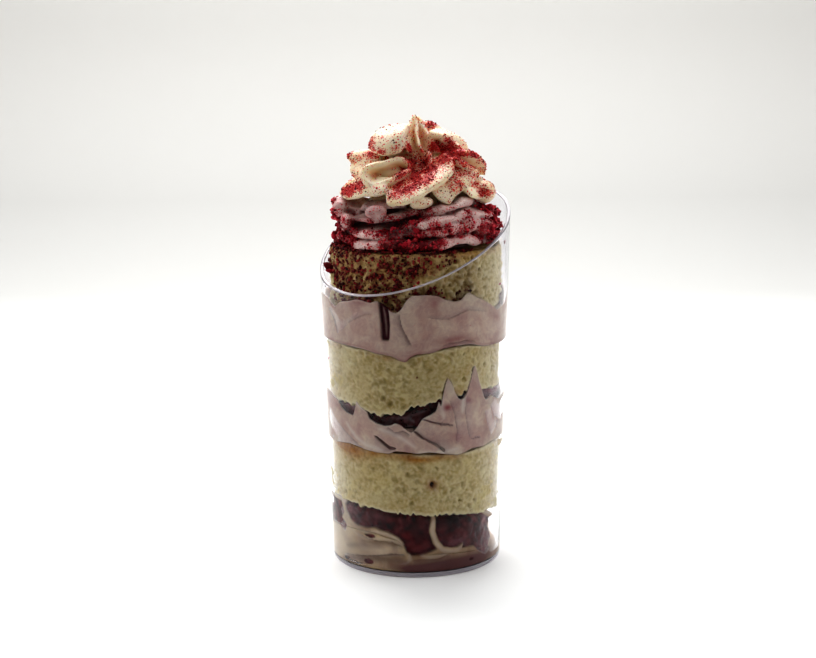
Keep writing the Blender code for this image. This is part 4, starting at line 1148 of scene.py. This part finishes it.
# Crumbs that stick to the inside of the wall: azimuth, height and radius.
WALL_BITS = (
    (-74, 87.8, 1.4), (-71, 86.9, 0.9), (-72, 61.5, 0.6), (-80, 82, 0.35), (74, 94.6, 0.45), (66, 83, 0.4),
    (39, 62.2, 0.3), (1, 59, 0.3), (0, 74, 0.35), (36, 73, 0.3),
)


def grain_mesh(name, places, normals, sizes, seed, seat=0.2, sides=4):
    """One mesh of many broken crumbs: low-sided balls, each squashed and turned at random."""
    choose()
    bpy.ops.mesh.primitive_uv_sphere_add(segments=sides, ring_count=sides - 2, radius=1.15)
    bpy.ops.object.mode_set(mode="EDIT")
    bpy.ops.mesh.quads_convert_to_tris()
    model = done()
    base = points_of(model)
    faces = np.array([f.vertices[:] for f in model.data.polygons])
    bpy.data.objects.remove(model)
    chance = np.random.default_rng(seed)
    count = len(places)
    shape = chance.uniform(0.45, 1.3, (count, 1, 3)) * chance.uniform(0.6, 1.3, (count, len(base), 1))
    quats = chance.normal(size=(count, 4))
    quats /= np.linalg.norm(quats, axis=1, keepdims=True)
    w, x, y, z = quats.T
    turns = np.array(
        [
            [1 - 2 * (y * y + z * z), 2 * (x * y - z * w), 2 * (x * z + y * w)],
            [2 * (x * y + z * w), 1 - 2 * (x * x + z * z), 2 * (y * z - x * w)],
            [2 * (x * z - y * w), 2 * (y * z + x * w), 1 - 2 * (x * x + y * y)],
        ]
    ).transpose(2, 0, 1)
    local = np.einsum("nij,nkj->nki", turns, base[None] * shape) * sizes[:, None, None]
    centres = places + normals * (sizes * seat)[:, None]
    points = (local + centres[:, None, :]).reshape(-1, 3)
    index = (faces[None] + (np.arange(count) * len(base))[:, None, None]).reshape(-1, 3)
    mesh = bpy.data.meshes.new(name)
    mesh.from_pydata(points.tolist(), [], index.tolist())
    obj = bpy.data.objects.new(name, mesh)
    bpy.context.scene.collection.objects.link(obj)
    mark(obj, "tone", np.repeat(chance.uniform(0.0, 1.0, count), len(base)))
    return obj


def dust_draws(obj, count, seed, floor):
    """Places on a mesh, drawn evenly over its area and kept in proportion to its dust above a floor."""
    mesh = obj.data
    mesh.calc_loop_triangles()
    corners = np.empty(len(mesh.loop_triangles) * 3, dtype=np.int32)
    mesh.loop_triangles.foreach_get("vertices", corners)
    corners = corners.reshape(-1, 3)
    points = points_of(obj)
    values = np.empty(len(points), dtype=np.float32)
    mesh.attributes["dust"].data.foreach_get("value", values)
    dust = values[corners].mean(axis=1)
    a, b, c = (points[corners[:, i]] for i in range(3))
    normals = np.cross(b - a, c - a)
    doubles = np.linalg.norm(normals, axis=1)
    normals /= np.maximum(doubles, 1e-18)[:, None]
    weight = np.where(dust > floor, doubles * dust, 0.0)
    chance = np.random.default_rng(seed)
    picks = chance.choice(len(corners), count, p=weight / weight.sum())
    u, v = chance.uniform(size=(2, count))
    flip = u + v > 1.0
    u, v = np.where(flip, 1.0 - u, u), np.where(flip, 1.0 - v, v)
    places = a[picks] + u[:, None] * (b - a)[picks] + v[:, None] * (c - a)[picks]
    return places, normals[picks]


def make_crumbs(top, ring, swirl):
    """Loose powder and crumbs on what is open to the air. Sizes are radii: many small, few large."""
    dry = dried_berry("crushed_dried_berry", "#4A0812", "#840E1E", "#B82038", "#E25C64")
    bright = dried_berry("powdered_dried_berry", "#3E0A12", "#8E1420", "#CA2A30", "#E86C60")
    moist = dried_berry("moist_crushed_berry", "#300A0C", "#58141A", "#7E1E24", "#A83C3A")
    for name, look, carrier, count, smallest, largest, floor, seed, sides in (
        ("swirl_crumbs", bright, swirl, 12400, 0.07, 0.27, 0.05, 201, 4),
        ("ring_crumbs", dry, ring, 11000, 0.08, 0.44, 0.2, 203, 4),
        ("ring_chunks", dry, ring, 300, 0.40, 0.95, 0.85, 207, 6),
        ("sponge_top_crumbs", moist, top, 7000, 0.10, 0.55, 0.22, 205, 4),
    ):
        draws = np.random.default_rng(seed + 1).uniform(size=count)
        sizes = (smallest + (largest - smallest) * draws**3.2) * MM
        grains = grain_mesh(name, *dust_draws(carrier, count, seed, floor), sizes, seed + 2, sides=sides)
        finish_piece(grains, name, look, "berry_crumb")
    azimuth, height, size = np.array(WALL_BITS).T
    sines, cosines = np.sin(np.radians(azimuth)), np.cos(np.radians(azimuth))
    r = inner_radius(height * MM) - 0.6 * size * MM
    places = np.column_stack((r * sines, -r * cosines, height * MM))
    normals = np.column_stack((-sines, cosines, 0.0 * sines))
    grains = grain_mesh("wall_crumbs", places, normals, size * MM, 209, seat=0.0, sides=6)
    finish_piece(grains, "wall_crumbs", dry, "berry_crumb")


# ---------------------------------------------------------------- the cup

CUP_STEPS = 240
BLANK_TOP = CUP_TOP + 8.0 * MM  # the straight blank is cut off well below this
RIM_ROUNDING = 0.24 * MM
RIM_LOOPS = (0.8 * MM, 1.2 * MM)  # this far below the rim, loops keep the wall's shading straight
FOOT_RING = 1.7 * MM  # width of the ring that the cup stands on
FOOT_LIFT = 0.35 * MM  # the floor's underside lies this much higher
FOOT_LOOK_TOP = 1.1 * MM  # below this the foot has the look of a moulded edge
FLOOR_CORNER = 1.2 * MM
TOUCH = 0.00002  # a vertex this near to the rim's plane is on it


def cup_profile():
    """The blank's outline as (radius, height): up the inside, down the outside and in at the foot."""
    inner_floor = inner_radius(FLOOR)
    profile = [(0.0, FLOOR), (inner_floor - FLOOR_CORNER, FLOOR)]
    for a in (0.5, 1.0, math.pi / 2.0):
        r = inner_floor - FLOOR_CORNER * (1.0 - math.sin(a))
        profile.append((r, FLOOR + 0.7 * FLOOR_CORNER * (1.0 - math.cos(a))))
    profile += [(inner_radius(z), z) for z in (3.2 * MM, 40.0 * MM, BLANK_TOP)]
    profile += [(inner_radius(z) + WALL, z) for z in (BLANK_TOP, 40.0 * MM, 2.4 * MM, 1.5 * MM)]
    foot = ((0.05 * MM, 0.4 * MM), (0.25 * MM, 0.12 * MM), (0.6 * MM, 0.0), (FOOT_RING, 0.0))
    profile += [(FOOT_RADIUS - inward, z) for inward, z in foot]
    return profile + [(FOOT_RADIUS - FOOT_RING - 0.25 * MM, FOOT_LIFT), (0.0, FOOT_LIFT)]


def make_cup(look, rim_look):
    """Spun as a straight blank, cut along the slanting rim, bridged and rounded there."""
    cup = spun("cup_blank", cup_profile(), CUP_STEPS)
    edit(cup)
    slant = (-RIM_SLOPE_X, -RIM_SLOPE_Y, 1.0)
    bpy.ops.mesh.bisect(plane_co=(0.0, 0.0, RIM_HEIGHT), plane_no=slant, clear_outer=True)
    for below in RIM_LOOPS:
        bpy.ops.mesh.select_all(action="SELECT")
        bpy.ops.mesh.bisect(plane_co=(0.0, 0.0, RIM_HEIGHT - below), plane_no=slant)
    bpy.ops.mesh.select_mode(type="EDGE")
    bpy.ops.mesh.select_all(action="DESELECT")
    bpy.ops.mesh.select_non_manifold(extend=False)
    bpy.ops.mesh.bridge_edge_loops()
    done()
    for edge in cup.data.edges:
        ends = [cup.data.vertices[v].co for v in edge.vertices]
        at_rim = all(abs(co.z - rim_height(co.x, co.y)) < TOUCH for co in ends)
        inset = {round(math.hypot(co.x, co.y) - inner_radius(co.z), 4) for co in ends}
        edge.select = at_rim and len(inset) == 1
    bpy.ops.object.mode_set(mode="EDIT")
    bpy.ops.mesh.bevel(offset=RIM_ROUNDING, segments=4, affect="EDGES", clamp_overlap=True)
    cup = finish_piece(done(outwards=True), "cup_shell", look, "clear_cup", "cup")
    cup.data.materials.append(rim_look)
    for face in cup.data.polygons:
        rim = rim_height(face.center.x, face.center.y) - RIM_ROUNDING
        if face.center.z < FOOT_LOOK_TOP or face.center.z > rim:
            face.material_index = 1


# ---------------------------------------------------------------- materials

BLACK, WHITE = "#000000", "#FFFFFF"
CLOUD_MASK = ((0.35, BLACK), (0.65, WHITE))


def linear(hex_colour):
    """An sRGB hex colour as linear red, green, blue and alpha."""
    parts = [int(hex_colour[i : i + 2], 16) / 255.0 for i in (1, 3, 5)]
    return tuple(c / 12.92 if c <= 0.04045 else ((c + 0.055) / 1.055) ** 2.4 for c in parts) + (1.0,)


def add_node(tree, kind, inputs=None, stops=(), **settings):
    """Adds a node with its settings and links, and gives its outputs.

    An input is a value, a hex colour or the output that feeds it. Stops are a ramp's places and
    colours.
    """
    node = tree.nodes.new("ShaderNode" + kind)
    for key, value in settings.items():
        setattr(node, key, value)
    for _ in stops[2:]:
        node.color_ramp.elements.new(0.5)
    for index, (place, colour) in enumerate(stops):
        node.color_ramp.elements[index].position = place
        node.color_ramp.elements[index].color = linear(colour)
    for key, value in (inputs or {}).items():
        if isinstance(value, bpy.types.NodeSocket):
            tree.links.new(value, node.inputs[key])
        else:
            node.inputs[key].default_value = linear(value) if isinstance(value, str) else value
    return node.outputs


def new_look(name):
    """An empty material and what adds a node to it."""
    look = bpy.data.materials.new(name)
    look.use_nodes = True
    look.node_tree.nodes.clear()
    return look, functools.partial(add_node, look.node_tree)


def cells(size_mm):
    """The scale of a pattern whose cells have this size."""
    return 1.0 / (size_mm * MM)


def lay(add, body, *layers):
    """Lays colours over a body one after another, each as strongly as its mark or its share says."""
    for share, colour in layers:
        if isinstance(share, str):
            share = add("Attribute", attribute_name=share)["Fac"]
        body = add("Mix", {0: share, 6: body, 7: colour}, data_type="RGBA")[2]
    return body


def food_surface(add, body, relief, strength, values, depth_mm=0.3):
    """Ends a food's material: its colour, its fine relief and the surface's own values."""
    bumps = {"Height": relief, "Strength": strength, "Distance": depth_mm * MM}
    values = {"Base Color": body, "Normal": add("Bump", bumps)["Normal"], **values}
    add("OutputMaterial", {"Surface": add("BsdfPrincipled", values)["BSDF"]})


def soft_inside(weight, radius, scale_mm):
    """Light that goes a little way into a food: how much, how far by colour, and the scale of that."""
    return {"Subsurface Weight": weight, "Subsurface Radius": radius, "Subsurface Scale": scale_mm * MM}


def clear_polystyrene(name, tint, clear):
    """Injection-moulded clear polystyrene: hard, glossy and colourless, with a faint violet edge.

    Clear is the share that passes straight on; a rim or foot catches light and scatters some of it.
    """
    look, add = new_look(name)
    place = add("TexCoord")["Object"]
    waves = add("TexNoise", {"Vector": place, "Scale": cells(14.0), "Detail": 1.0})["Fac"]
    values = {
        "Base Color": tint,
        "Roughness": 0.02,
        "IOR": 1.59,
        "Specular Tint": (0.12, 0.12, 0.12, 1.0),
        "Transmission Weight": clear,
        "Normal": add("Bump", {"Height": waves, "Strength": 0.04, "Distance": 0.4 * MM})["Normal"],
    }
    # Light goes straight through the thin wall on its way to the food.
    straight = add("BsdfTransparent", {"Color": "#F4F3F5"})["BSDF"]
    shadow = add("LightPath")["Is Shadow Ray"]
    both = add("MixShader", {"Fac": shadow, 1: add("BsdfPrincipled", values)["BSDF"], 2: straight})
    add("OutputMaterial", {"Surface": both["Shader"]})
    return look


def vanilla_sponge():
    """Baked vanilla sponge, cut and torn: pale yellow, open crumb with painted shade in its holes and a
    painted highlight on its raised crumbs, matt and soft.

    Its crust is browned, its hole singed, and berry juice and powder have stained its open front, where the
    powder's brown haze is also painted shade.
    """
    look, add = new_look("baked_vanilla_sponge")
    place = add("TexCoord")["Object"]
    dust = add("Attribute", attribute_name="dust")["Fac"]
    clouds = add("TexNoise", {"Vector": place, "Scale": cells(6.0), "Detail": 2.0})["Fac"]
    crumb = add("TexNoise", {"Vector": place, "Scale": cells(0.9), "Detail": 3.0})["Fac"]
    powder = add("TexNoise", {"Vector": place, "Scale": cells(0.8), "Detail": 2.0})["Fac"]
    pale, warm, crust, soaked, reds = (
        add("ValToRGB", {"Fac": crumb}, stops)["Color"]
        for stops in (
            ((0.3, "#D2C188"), (0.7, "#EADFB0")),
            ((0.3, "#C6B276"), (0.7, "#E0CF98")),
            ((0.3, "#A66C28"), (0.7, "#C69446")),
            ((0.36, "#623C1E"), (0.64, "#B08A5A")),
            ((0.35, "#4A1814"), (0.65, "#8A4034")),
        )
    )
    # A brown haze where berry powder lies; on the open front under the ring it is also painted shade.
    powder_haze_and_shade = add("Math", {0: dust, 1: 0.7}, operation="MULTIPLY")["Value"]
    specks = add("Math", {0: powder, 1: dust}, operation="MULTIPLY")["Value"]
    body = lay(
        add,
        pale,
        (add("ValToRGB", {"Fac": clouds}, ((0.4, BLACK), (0.65, WHITE)))["Color"], warm),
        # Painted shade in the pits, and a painted highlight on the raised crumbs.
        ("hollow", "#A4935A"),
        ("proud", "#EFE5BC"),
        ("singed", "#B98A5C"),
        # Painted shade inside the open hole.
        ("dark", "#2A100B"),
        ("crust", crust),
        ("soaked", soaked),
        (powder_haze_and_shade, "#7E4E2C"),
        (add("ValToRGB", {"Fac": specks}, ((0.27, BLACK), (0.50, WHITE)))["Color"], reds),
    )
    values = {"Roughness": 0.85, "Specular IOR Level": 0.25, **soft_inside(0.15, (1.0, 0.7, 0.35), 1.6)}
    food_surface(add, body, crumb, 0.5, values, depth_mm=0.35)
    return look


def whipped(add, light, deep):
    """Whipped frosting, smooth and slightly greasy: two shades in soft clouds, and fine streaks."""
    place = add("TexCoord")["Object"]
    wide = {"Vector": place, "Scale": cells(8.0), "Detail": 2.0, "Distortion": 0.6}
    fine = {"Vector": place, "Scale": cells(2.2), "Detail": 2.0, "Distortion": 1.5}
    clouds = add("ValToRGB", {"Fac": add("TexNoise", wide)["Fac"]}, CLOUD_MASK)["Color"]
    return lay(add, light, (clouds, deep)), add("TexNoise", fine)["Fac"]


def smeared_frosting():
    """Mauve whipped frosting with berry juice in it, smeared wet against the wall."""
    look, add = new_look("smeared_mauve_frosting")
    body, streaks = whipped(add, "#E9DAC8", "#D2B5AA")
    streaky = add("ValToRGB", {"Fac": streaks}, CLOUD_MASK)["Color"]
    place = add("TexCoord")["Object"]
    lines = {"Vector": place, "Scale": cells(4.0), "Detail": 1.0, "Distortion": 2.5}
    thin = ((0.44, BLACK), (0.5, "#707070"), (0.56, BLACK))
    veins = add("ValToRGB", {"Fac": add("TexNoise", lines)["Fac"]}, thin)["Color"]
    body = lay(
        add,
        body,
        (streaky, lay(add, body, (0.28, "#B08C92"))),
        (veins, "#EFE6DA"),
        # Painted shade in the hollows.
        ("hollow", "#A08280"),
        # Painted highlight on the lips and ridges.
        ("lip", "#F2E8DE"),
        # Painted shade along the creases and in the slits.
        ("crease", "#7C6062"),
        ("stain", "#9A4A54"),
        ("jam", add("ValToRGB", {"Fac": streaks}, ((0.3, "#3A161C"), (0.7, "#5C2A34")))["Color"]),
    )
    values = {"Roughness": 0.42, "Specular IOR Level": 0.1, **soft_inside(0.15, (1.0, 0.6, 0.5), 1.5)}
    food_surface(add, body, streaks, 0.15, values)
    return look


def bottom_mix():
    """Beige cream and dark berry jam, pressed together wet and glossy against the wall."""
    look, add = new_look("cream_and_berry_jam")
    place = add("TexCoord")["Object"]
    wide = {"Vector": place, "Scale": cells(6.0), "Detail": 2.0, "Distortion": 1.0}
    clumps = {"Vector": place, "Scale": cells(2.6), "Detail": 4.0, "Roughness": 0.6}
    berries = ((0.34, "#1E080B"), (0.5, "#501419"), (0.68, "#7C3A3E"))
    jam = lay(
        add,
        add("ValToRGB", {"Fac": add("TexNoise", clumps)["Fac"]}, berries)["Color"],
        ("bright", "#8E1420"),
        ("shade", "#1E0A0E"),
        ("pale", "#8E5A60"),
    )
    body = lay(
        add,
        "#E0CAA6",
        (add("ValToRGB", {"Fac": add("TexNoise", wide)["Fac"]}, CLOUD_MASK)["Color"], "#B89C7E"),
        # Painted light towards the left side.
        ("light", "#F4EEE2"),
        # Pale cream strokes, and painted highlights along the fold lips.
        ("stroke", "#E4D7C5"),
        # Painted shade in the hollows and painted soft shadows under the folds.
        ("hollow", "#7C645A"),
        ("stain", "#7E5856"),
        ("jam", jam),
    )
    relief = add("TexNoise", {"Vector": place, "Scale": cells(1.2), "Detail": 3.0})["Fac"]
    values = {"Roughness": 0.3, "Specular IOR Level": 0.15, **soft_inside(0.1, (1.0, 0.5, 0.4), 1.2)}
    food_surface(add, body, relief, 0.25, values)
    return look


def berry_jam():
    """Cooked berry jam: dark maroon, wet and glossy, with paler frosting worked in."""
    look, add = new_look("cooked_berry_jam")
    place = add("TexCoord")["Object"]
    fine = add("TexNoise", {"Vector": place, "Scale": cells(1.4), "Detail": 3.0})["Fac"]
    berries = ((0.3, "#2E0B0E"), (0.6, "#58141A"), (0.8, "#7A2C30"))
    body = lay(add, add("ValToRGB", {"Fac": fine}, berries)["Color"], ("pale", "#8E4C54"))
    food_surface(add, body, fine, 0.3, {"Roughness": 0.2})
    return look


def powdered(add, body, haze_red, reds, packed):
    """Lays berry powder over a colour: grains whose share of the surface is the mark's value.

    Where it lies thickest the grains close up to one packed red. The cells are coarser than the
    real powder, which is too fine to show.
    """
    place = add("TexCoord")["Object"]
    dust = add("Attribute", attribute_name="dust")["Fac"]
    body = lay(add, body, (add("Math", {0: dust, 1: 0.3}, operation="MULTIPLY")["Value"], haze_red))
    for size_mm, share in ((0.30, 0.85), (0.17, 0.7)):
        grain = add("TexVoronoi", {"Vector": place, "Scale": cells(size_mm)})["Color"]
        chances = add("SeparateColor", {"Color": grain})
        level = add("Math", {0: dust, 1: share}, operation="MULTIPLY")["Value"]
        present = add("Math", {0: chances[0], 1: level}, operation="LESS_THAN")["Value"]
        tones = tuple(zip((0.0, 0.25, 0.65, 1.0), reds))
        body = lay(add, body, (present, add("ValToRGB", {"Fac": chances[1]}, tones)["Color"]))
    thick = add("ValToRGB", {"Fac": dust}, ((0.6, BLACK), (0.95, "#C8C8C8")))["Color"]
    return lay(add, body, (thick, packed))


def piped_mauve():
    """Mauve whipped frosting in the open air, dusted with berry powder, with painted deep crimson shade in
    its hollows.
    """
    look, add = new_look("piped_mauve_frosting")
    body, streaks = whipped(add, "#ECD8D2", "#C4A09C")
    # Painted shade, deep crimson, in the hollows.
    body = lay(add, body, ("hollow", "#541820"))
    body = powdered(add, body, "#C8505A", ("#5A0812", "#980E1C", "#C8263A", "#E66A6C"), "#7C0A18")
    # Painted shade, dark maroon, under the swirl and in the gaps between bands.
    body = lay(add, body, ("shade", "#3A0A10"))
    food_surface(add, body, streaks, 0.12, {"Roughness": 0.5, **soft_inside(0.2, (1.0, 0.6, 0.5), 1.5)})
    return look


def piped_cream():
    """Cream-cheese frosting: pale ivory, satin, letting light in a little at its thin lips, with painted warm
    light in its hollows.
    """
    look, add = new_look("piped_cream_cheese_frosting")
    place = add("TexCoord")["Object"]
    clouds = add("TexNoise", {"Vector": place, "Scale": cells(7.0), "Detail": 2.0})["Fac"]
    ivory = add("ValToRGB", {"Fac": clouds}, ((0.3, "#EEDDBC"), (0.7, "#F6EAD2")))["Color"]
    # Painted light: the hollows are painted a warm orange.
    body = lay(add, ivory, ("hollow", "#FFD090"))
    body = powdered(add, body, "#DE5C50", ("#740C18", "#C81822", "#EA3C36", "#F68470"), "#BC2428")
    fine = add("TexNoise", {"Vector": place, "Scale": cells(1.0), "Detail": 2.0})["Fac"]
    food_surface(add, body, fine, 0.08, {"Roughness": 0.45, **soft_inside(0.45, (1.0, 0.75, 0.4), 2.6)})
    return look


def dried_berry(name, *reds):
    """Freeze-dried raspberry, crushed: dry and matt, from deep maroon to bright red by the crumb.

    On the sponge it is moist and dark.
    """
    look, add = new_look(name)
    tone = add("Attribute", attribute_name="tone")["Fac"]
    body = add("ValToRGB", {"Fac": tone}, tuple(zip((0.0, 0.3, 0.65, 1.0), reds)))["Color"]
    values = {"Base Color": body, "Roughness": 0.7, "Specular IOR Level": 0.3}
    add("OutputMaterial", {"Surface": add("BsdfPrincipled", values)["BSDF"]})
    return look


def white_board():
    """Matt white card, clean in the middle, with painted shade: dark at its open front and grey along the
    bend.
    """
    look, add = new_look("matt_white_board")
    depth = add("SeparateXYZ", {0: add("TexCoord")["Object"]})["Y"]
    along = add("MapRange", {0: depth, 1: BOARD_SHADE_FROM, 2: BOARD_SHADE_TO})["Result"]
    body = add("ValToRGB", {"Fac": along}, BOARD_SHADES)["Color"]
    values = {"Base Color": body, "Roughness": 0.6, "Specular IOR Level": 0.1}
    add("OutputMaterial", {"Surface": add("BsdfPrincipled", values)["BSDF"]})
    return look


# ---------------------------------------------------------------- stage, light and camera

# The board: its width, the Y of its open front, the Y at which it starts to bend up, the height of
# its upright part, the radius of the bend and the number of steps in it.
BOARD_WIDTH, BOARD_FRONT, BOARD_BACK, BOARD_HEIGHT = 2.4, -0.9, 0.40, 1.3
BEND_RADIUS, BEND_STEPS = 0.16, 20
# Its shades from one Y to another: dark at the open front and grey along the bend, both painted shade, and
# pale grey up the backdrop.
BOARD_SHADE_FROM, BOARD_SHADE_TO = -0.26, 0.56
BOARD_SHADES = (
    (0.0, "#5A554F"), (0.2, "#F6F6F5"), (0.74, "#F4F4F3"), (0.86, "#D4D4D2"), (0.95, "#D0D0CE"),
    (1.0, "#E3E3E1"),
)

FRONT_LIGHT, BACK_LIGHT, TOP_LIGHT = 0.14, 0.95, 0.12
SOFTBOX_POWER = 2.8  # watts
SOFTBOX_SIZE = (0.5, 0.35)
SOFTBOX_PLACE, SOFTBOX_AIM = (-0.05, 0.30, 0.55), (0.0, 0.0, 0.08)

# The photo's camera: its distance from the cup's axis, its height and its three small turns.
CAMERA_DISTANCE = 463.0 * MM
CAMERA_HEIGHT = 154.6 * MM
CAMERA_PITCH, CAMERA_ROLL, CAMERA_YAW = 10.59, 0.53, 0.25
CAMERA_FIELD = 1598.9 / 816.0  # focal length as a multiple of the picture's width
SENSOR_WIDTH = 36.0  # in the camera's own millimetres, as its focal length is


def make_stage():
    """A white board that sweeps up into a pale backdrop, with shade painted dark at its open front."""
    choose()
    middle = (BOARD_FRONT + BOARD_BACK) / 2.0
    bpy.ops.mesh.primitive_plane_add(size=1.0, location=(0.0, middle, 0.0))
    floor = bpy.context.object
    floor.scale = (BOARD_WIDTH, BOARD_BACK - BOARD_FRONT, 1.0)
    bpy.ops.object.transform_apply(location=True, rotation=True, scale=True)
    edit(floor, "EDGE", "DESELECT")
    done()
    for edge in floor.data.edges:
        edge.select = all(floor.data.vertices[v].co.y > BOARD_BACK - MM for v in edge.vertices)
    bpy.ops.object.mode_set(mode="EDIT")
    bend = [(math.sin(a), -math.cos(a)) for a in np.linspace(0.0, math.pi / 2.0, BEND_STEPS + 1)]
    moves = [(BEND_RADIUS * (b[0] - a[0]), BEND_RADIUS * (b[1] - a[1])) for a, b in zip(bend, bend[1:])]
    for back, up in moves + [(0.0, BOARD_HEIGHT)]:
        bpy.ops.mesh.extrude_region_move(TRANSFORM_OT_translate={"value": (0.0, back, up)})
    floor = done(outwards=True)
    floor.name = "white_sweep"
    floor.data.shade_smooth()
    floor.data.materials.append(white_board())


def make_light():
    """Bright at the back, at the sides and above, as in a light tent, and dim at its open front."""
    world = bpy.data.worlds.new("light_tent")
    bpy.context.scene.world = world
    world.use_nodes = True
    world.node_tree.nodes.clear()
    add = functools.partial(add_node, world.node_tree)
    way = add("SeparateXYZ", {0: add("TexCoord")["Generated"]})
    from_front = {0: way["Y"], 1: -0.84, 2: -0.13, 3: FRONT_LIGHT, 4: BACK_LIGHT}
    upwards = {0: way["Z"], 1: 0.2, 2: 0.9, 3: 1.0, 4: 1.0 + TOP_LIGHT}
    depth, above = (
        add("MapRange", inputs, interpolation_type="SMOOTHSTEP")["Result"] for inputs in (from_front, upwards)
    )
    strength = add("Math", {0: depth, 1: above}, operation="MULTIPLY")["Value"]
    warmth = add("ValToRGB", {"Fac": depth}, ((0.1, "#FFEEDC"), (0.8, "#F9FCFF")))["Color"]
    shine = add("Background", {"Color": warmth, "Strength": strength})["Background"]
    add("OutputWorld", {"Surface": shine})

    lamp = bpy.data.lights.new("softbox_above", "AREA")
    lamp.shape = "RECTANGLE"
    lamp.size, lamp.size_y = SOFTBOX_SIZE
    lamp.energy = SOFTBOX_POWER
    softbox = bpy.data.objects.new("softbox_above", lamp)
    softbox.location = SOFTBOX_PLACE
    aim = Vector(SOFTBOX_AIM) - softbox.location
    softbox.rotation_euler = aim.to_track_quat("-Z", "Y").to_euler()
    bpy.context.scene.collection.objects.link(softbox)


def make_camera():
    """Stands where the photo was taken from."""
    camera = bpy.data.cameras.new("photo_view")
    camera.sensor_width = SENSOR_WIDTH
    camera.lens = CAMERA_FIELD * SENSOR_WIDTH
    camera.clip_start = 0.02
    obj = bpy.data.objects.new("photo_view", camera)
    pan = Matrix.Rotation(math.radians(CAMERA_YAW), 4, "Z")
    tilt = Matrix.Rotation(math.radians(90.0 - CAMERA_PITCH), 4, "X")
    roll = Matrix.Rotation(-math.radians(CAMERA_ROLL), 4, "Z")
    obj.matrix_world = Matrix.Translation((0.0, -CAMERA_DISTANCE, CAMERA_HEIGHT)) @ pan @ tilt @ roll
    bpy.context.scene.collection.objects.link(obj)
    bpy.context.scene.camera = obj


def main():
    bpy.context.scene.view_settings.view_transform = "Standard"
    bpy.context.scene.view_settings.look = "High Contrast"
    make_camera()
    make_light()
    make_stage()
    clear = clear_polystyrene("clear_polystyrene", "#FBFAFD", 1.0)
    make_cup(clear, clear_polystyrene("polystyrene_edge", "#ECE8F2", 0.6))
    crumb = vanilla_sponge()
    make_sponge_lower(crumb)
    make_sponge_middle(crumb)
    top = make_sponge_top(crumb)
    smeared = smeared_frosting()
    make_frosting_middle(smeared)
    make_frosting_upper(smeared)
    make_bottom(bottom_mix())
    make_jam_middle(berry_jam())
    make_crumbs(top, make_ring(piped_mauve()), make_swirl(piped_cream()))


main()
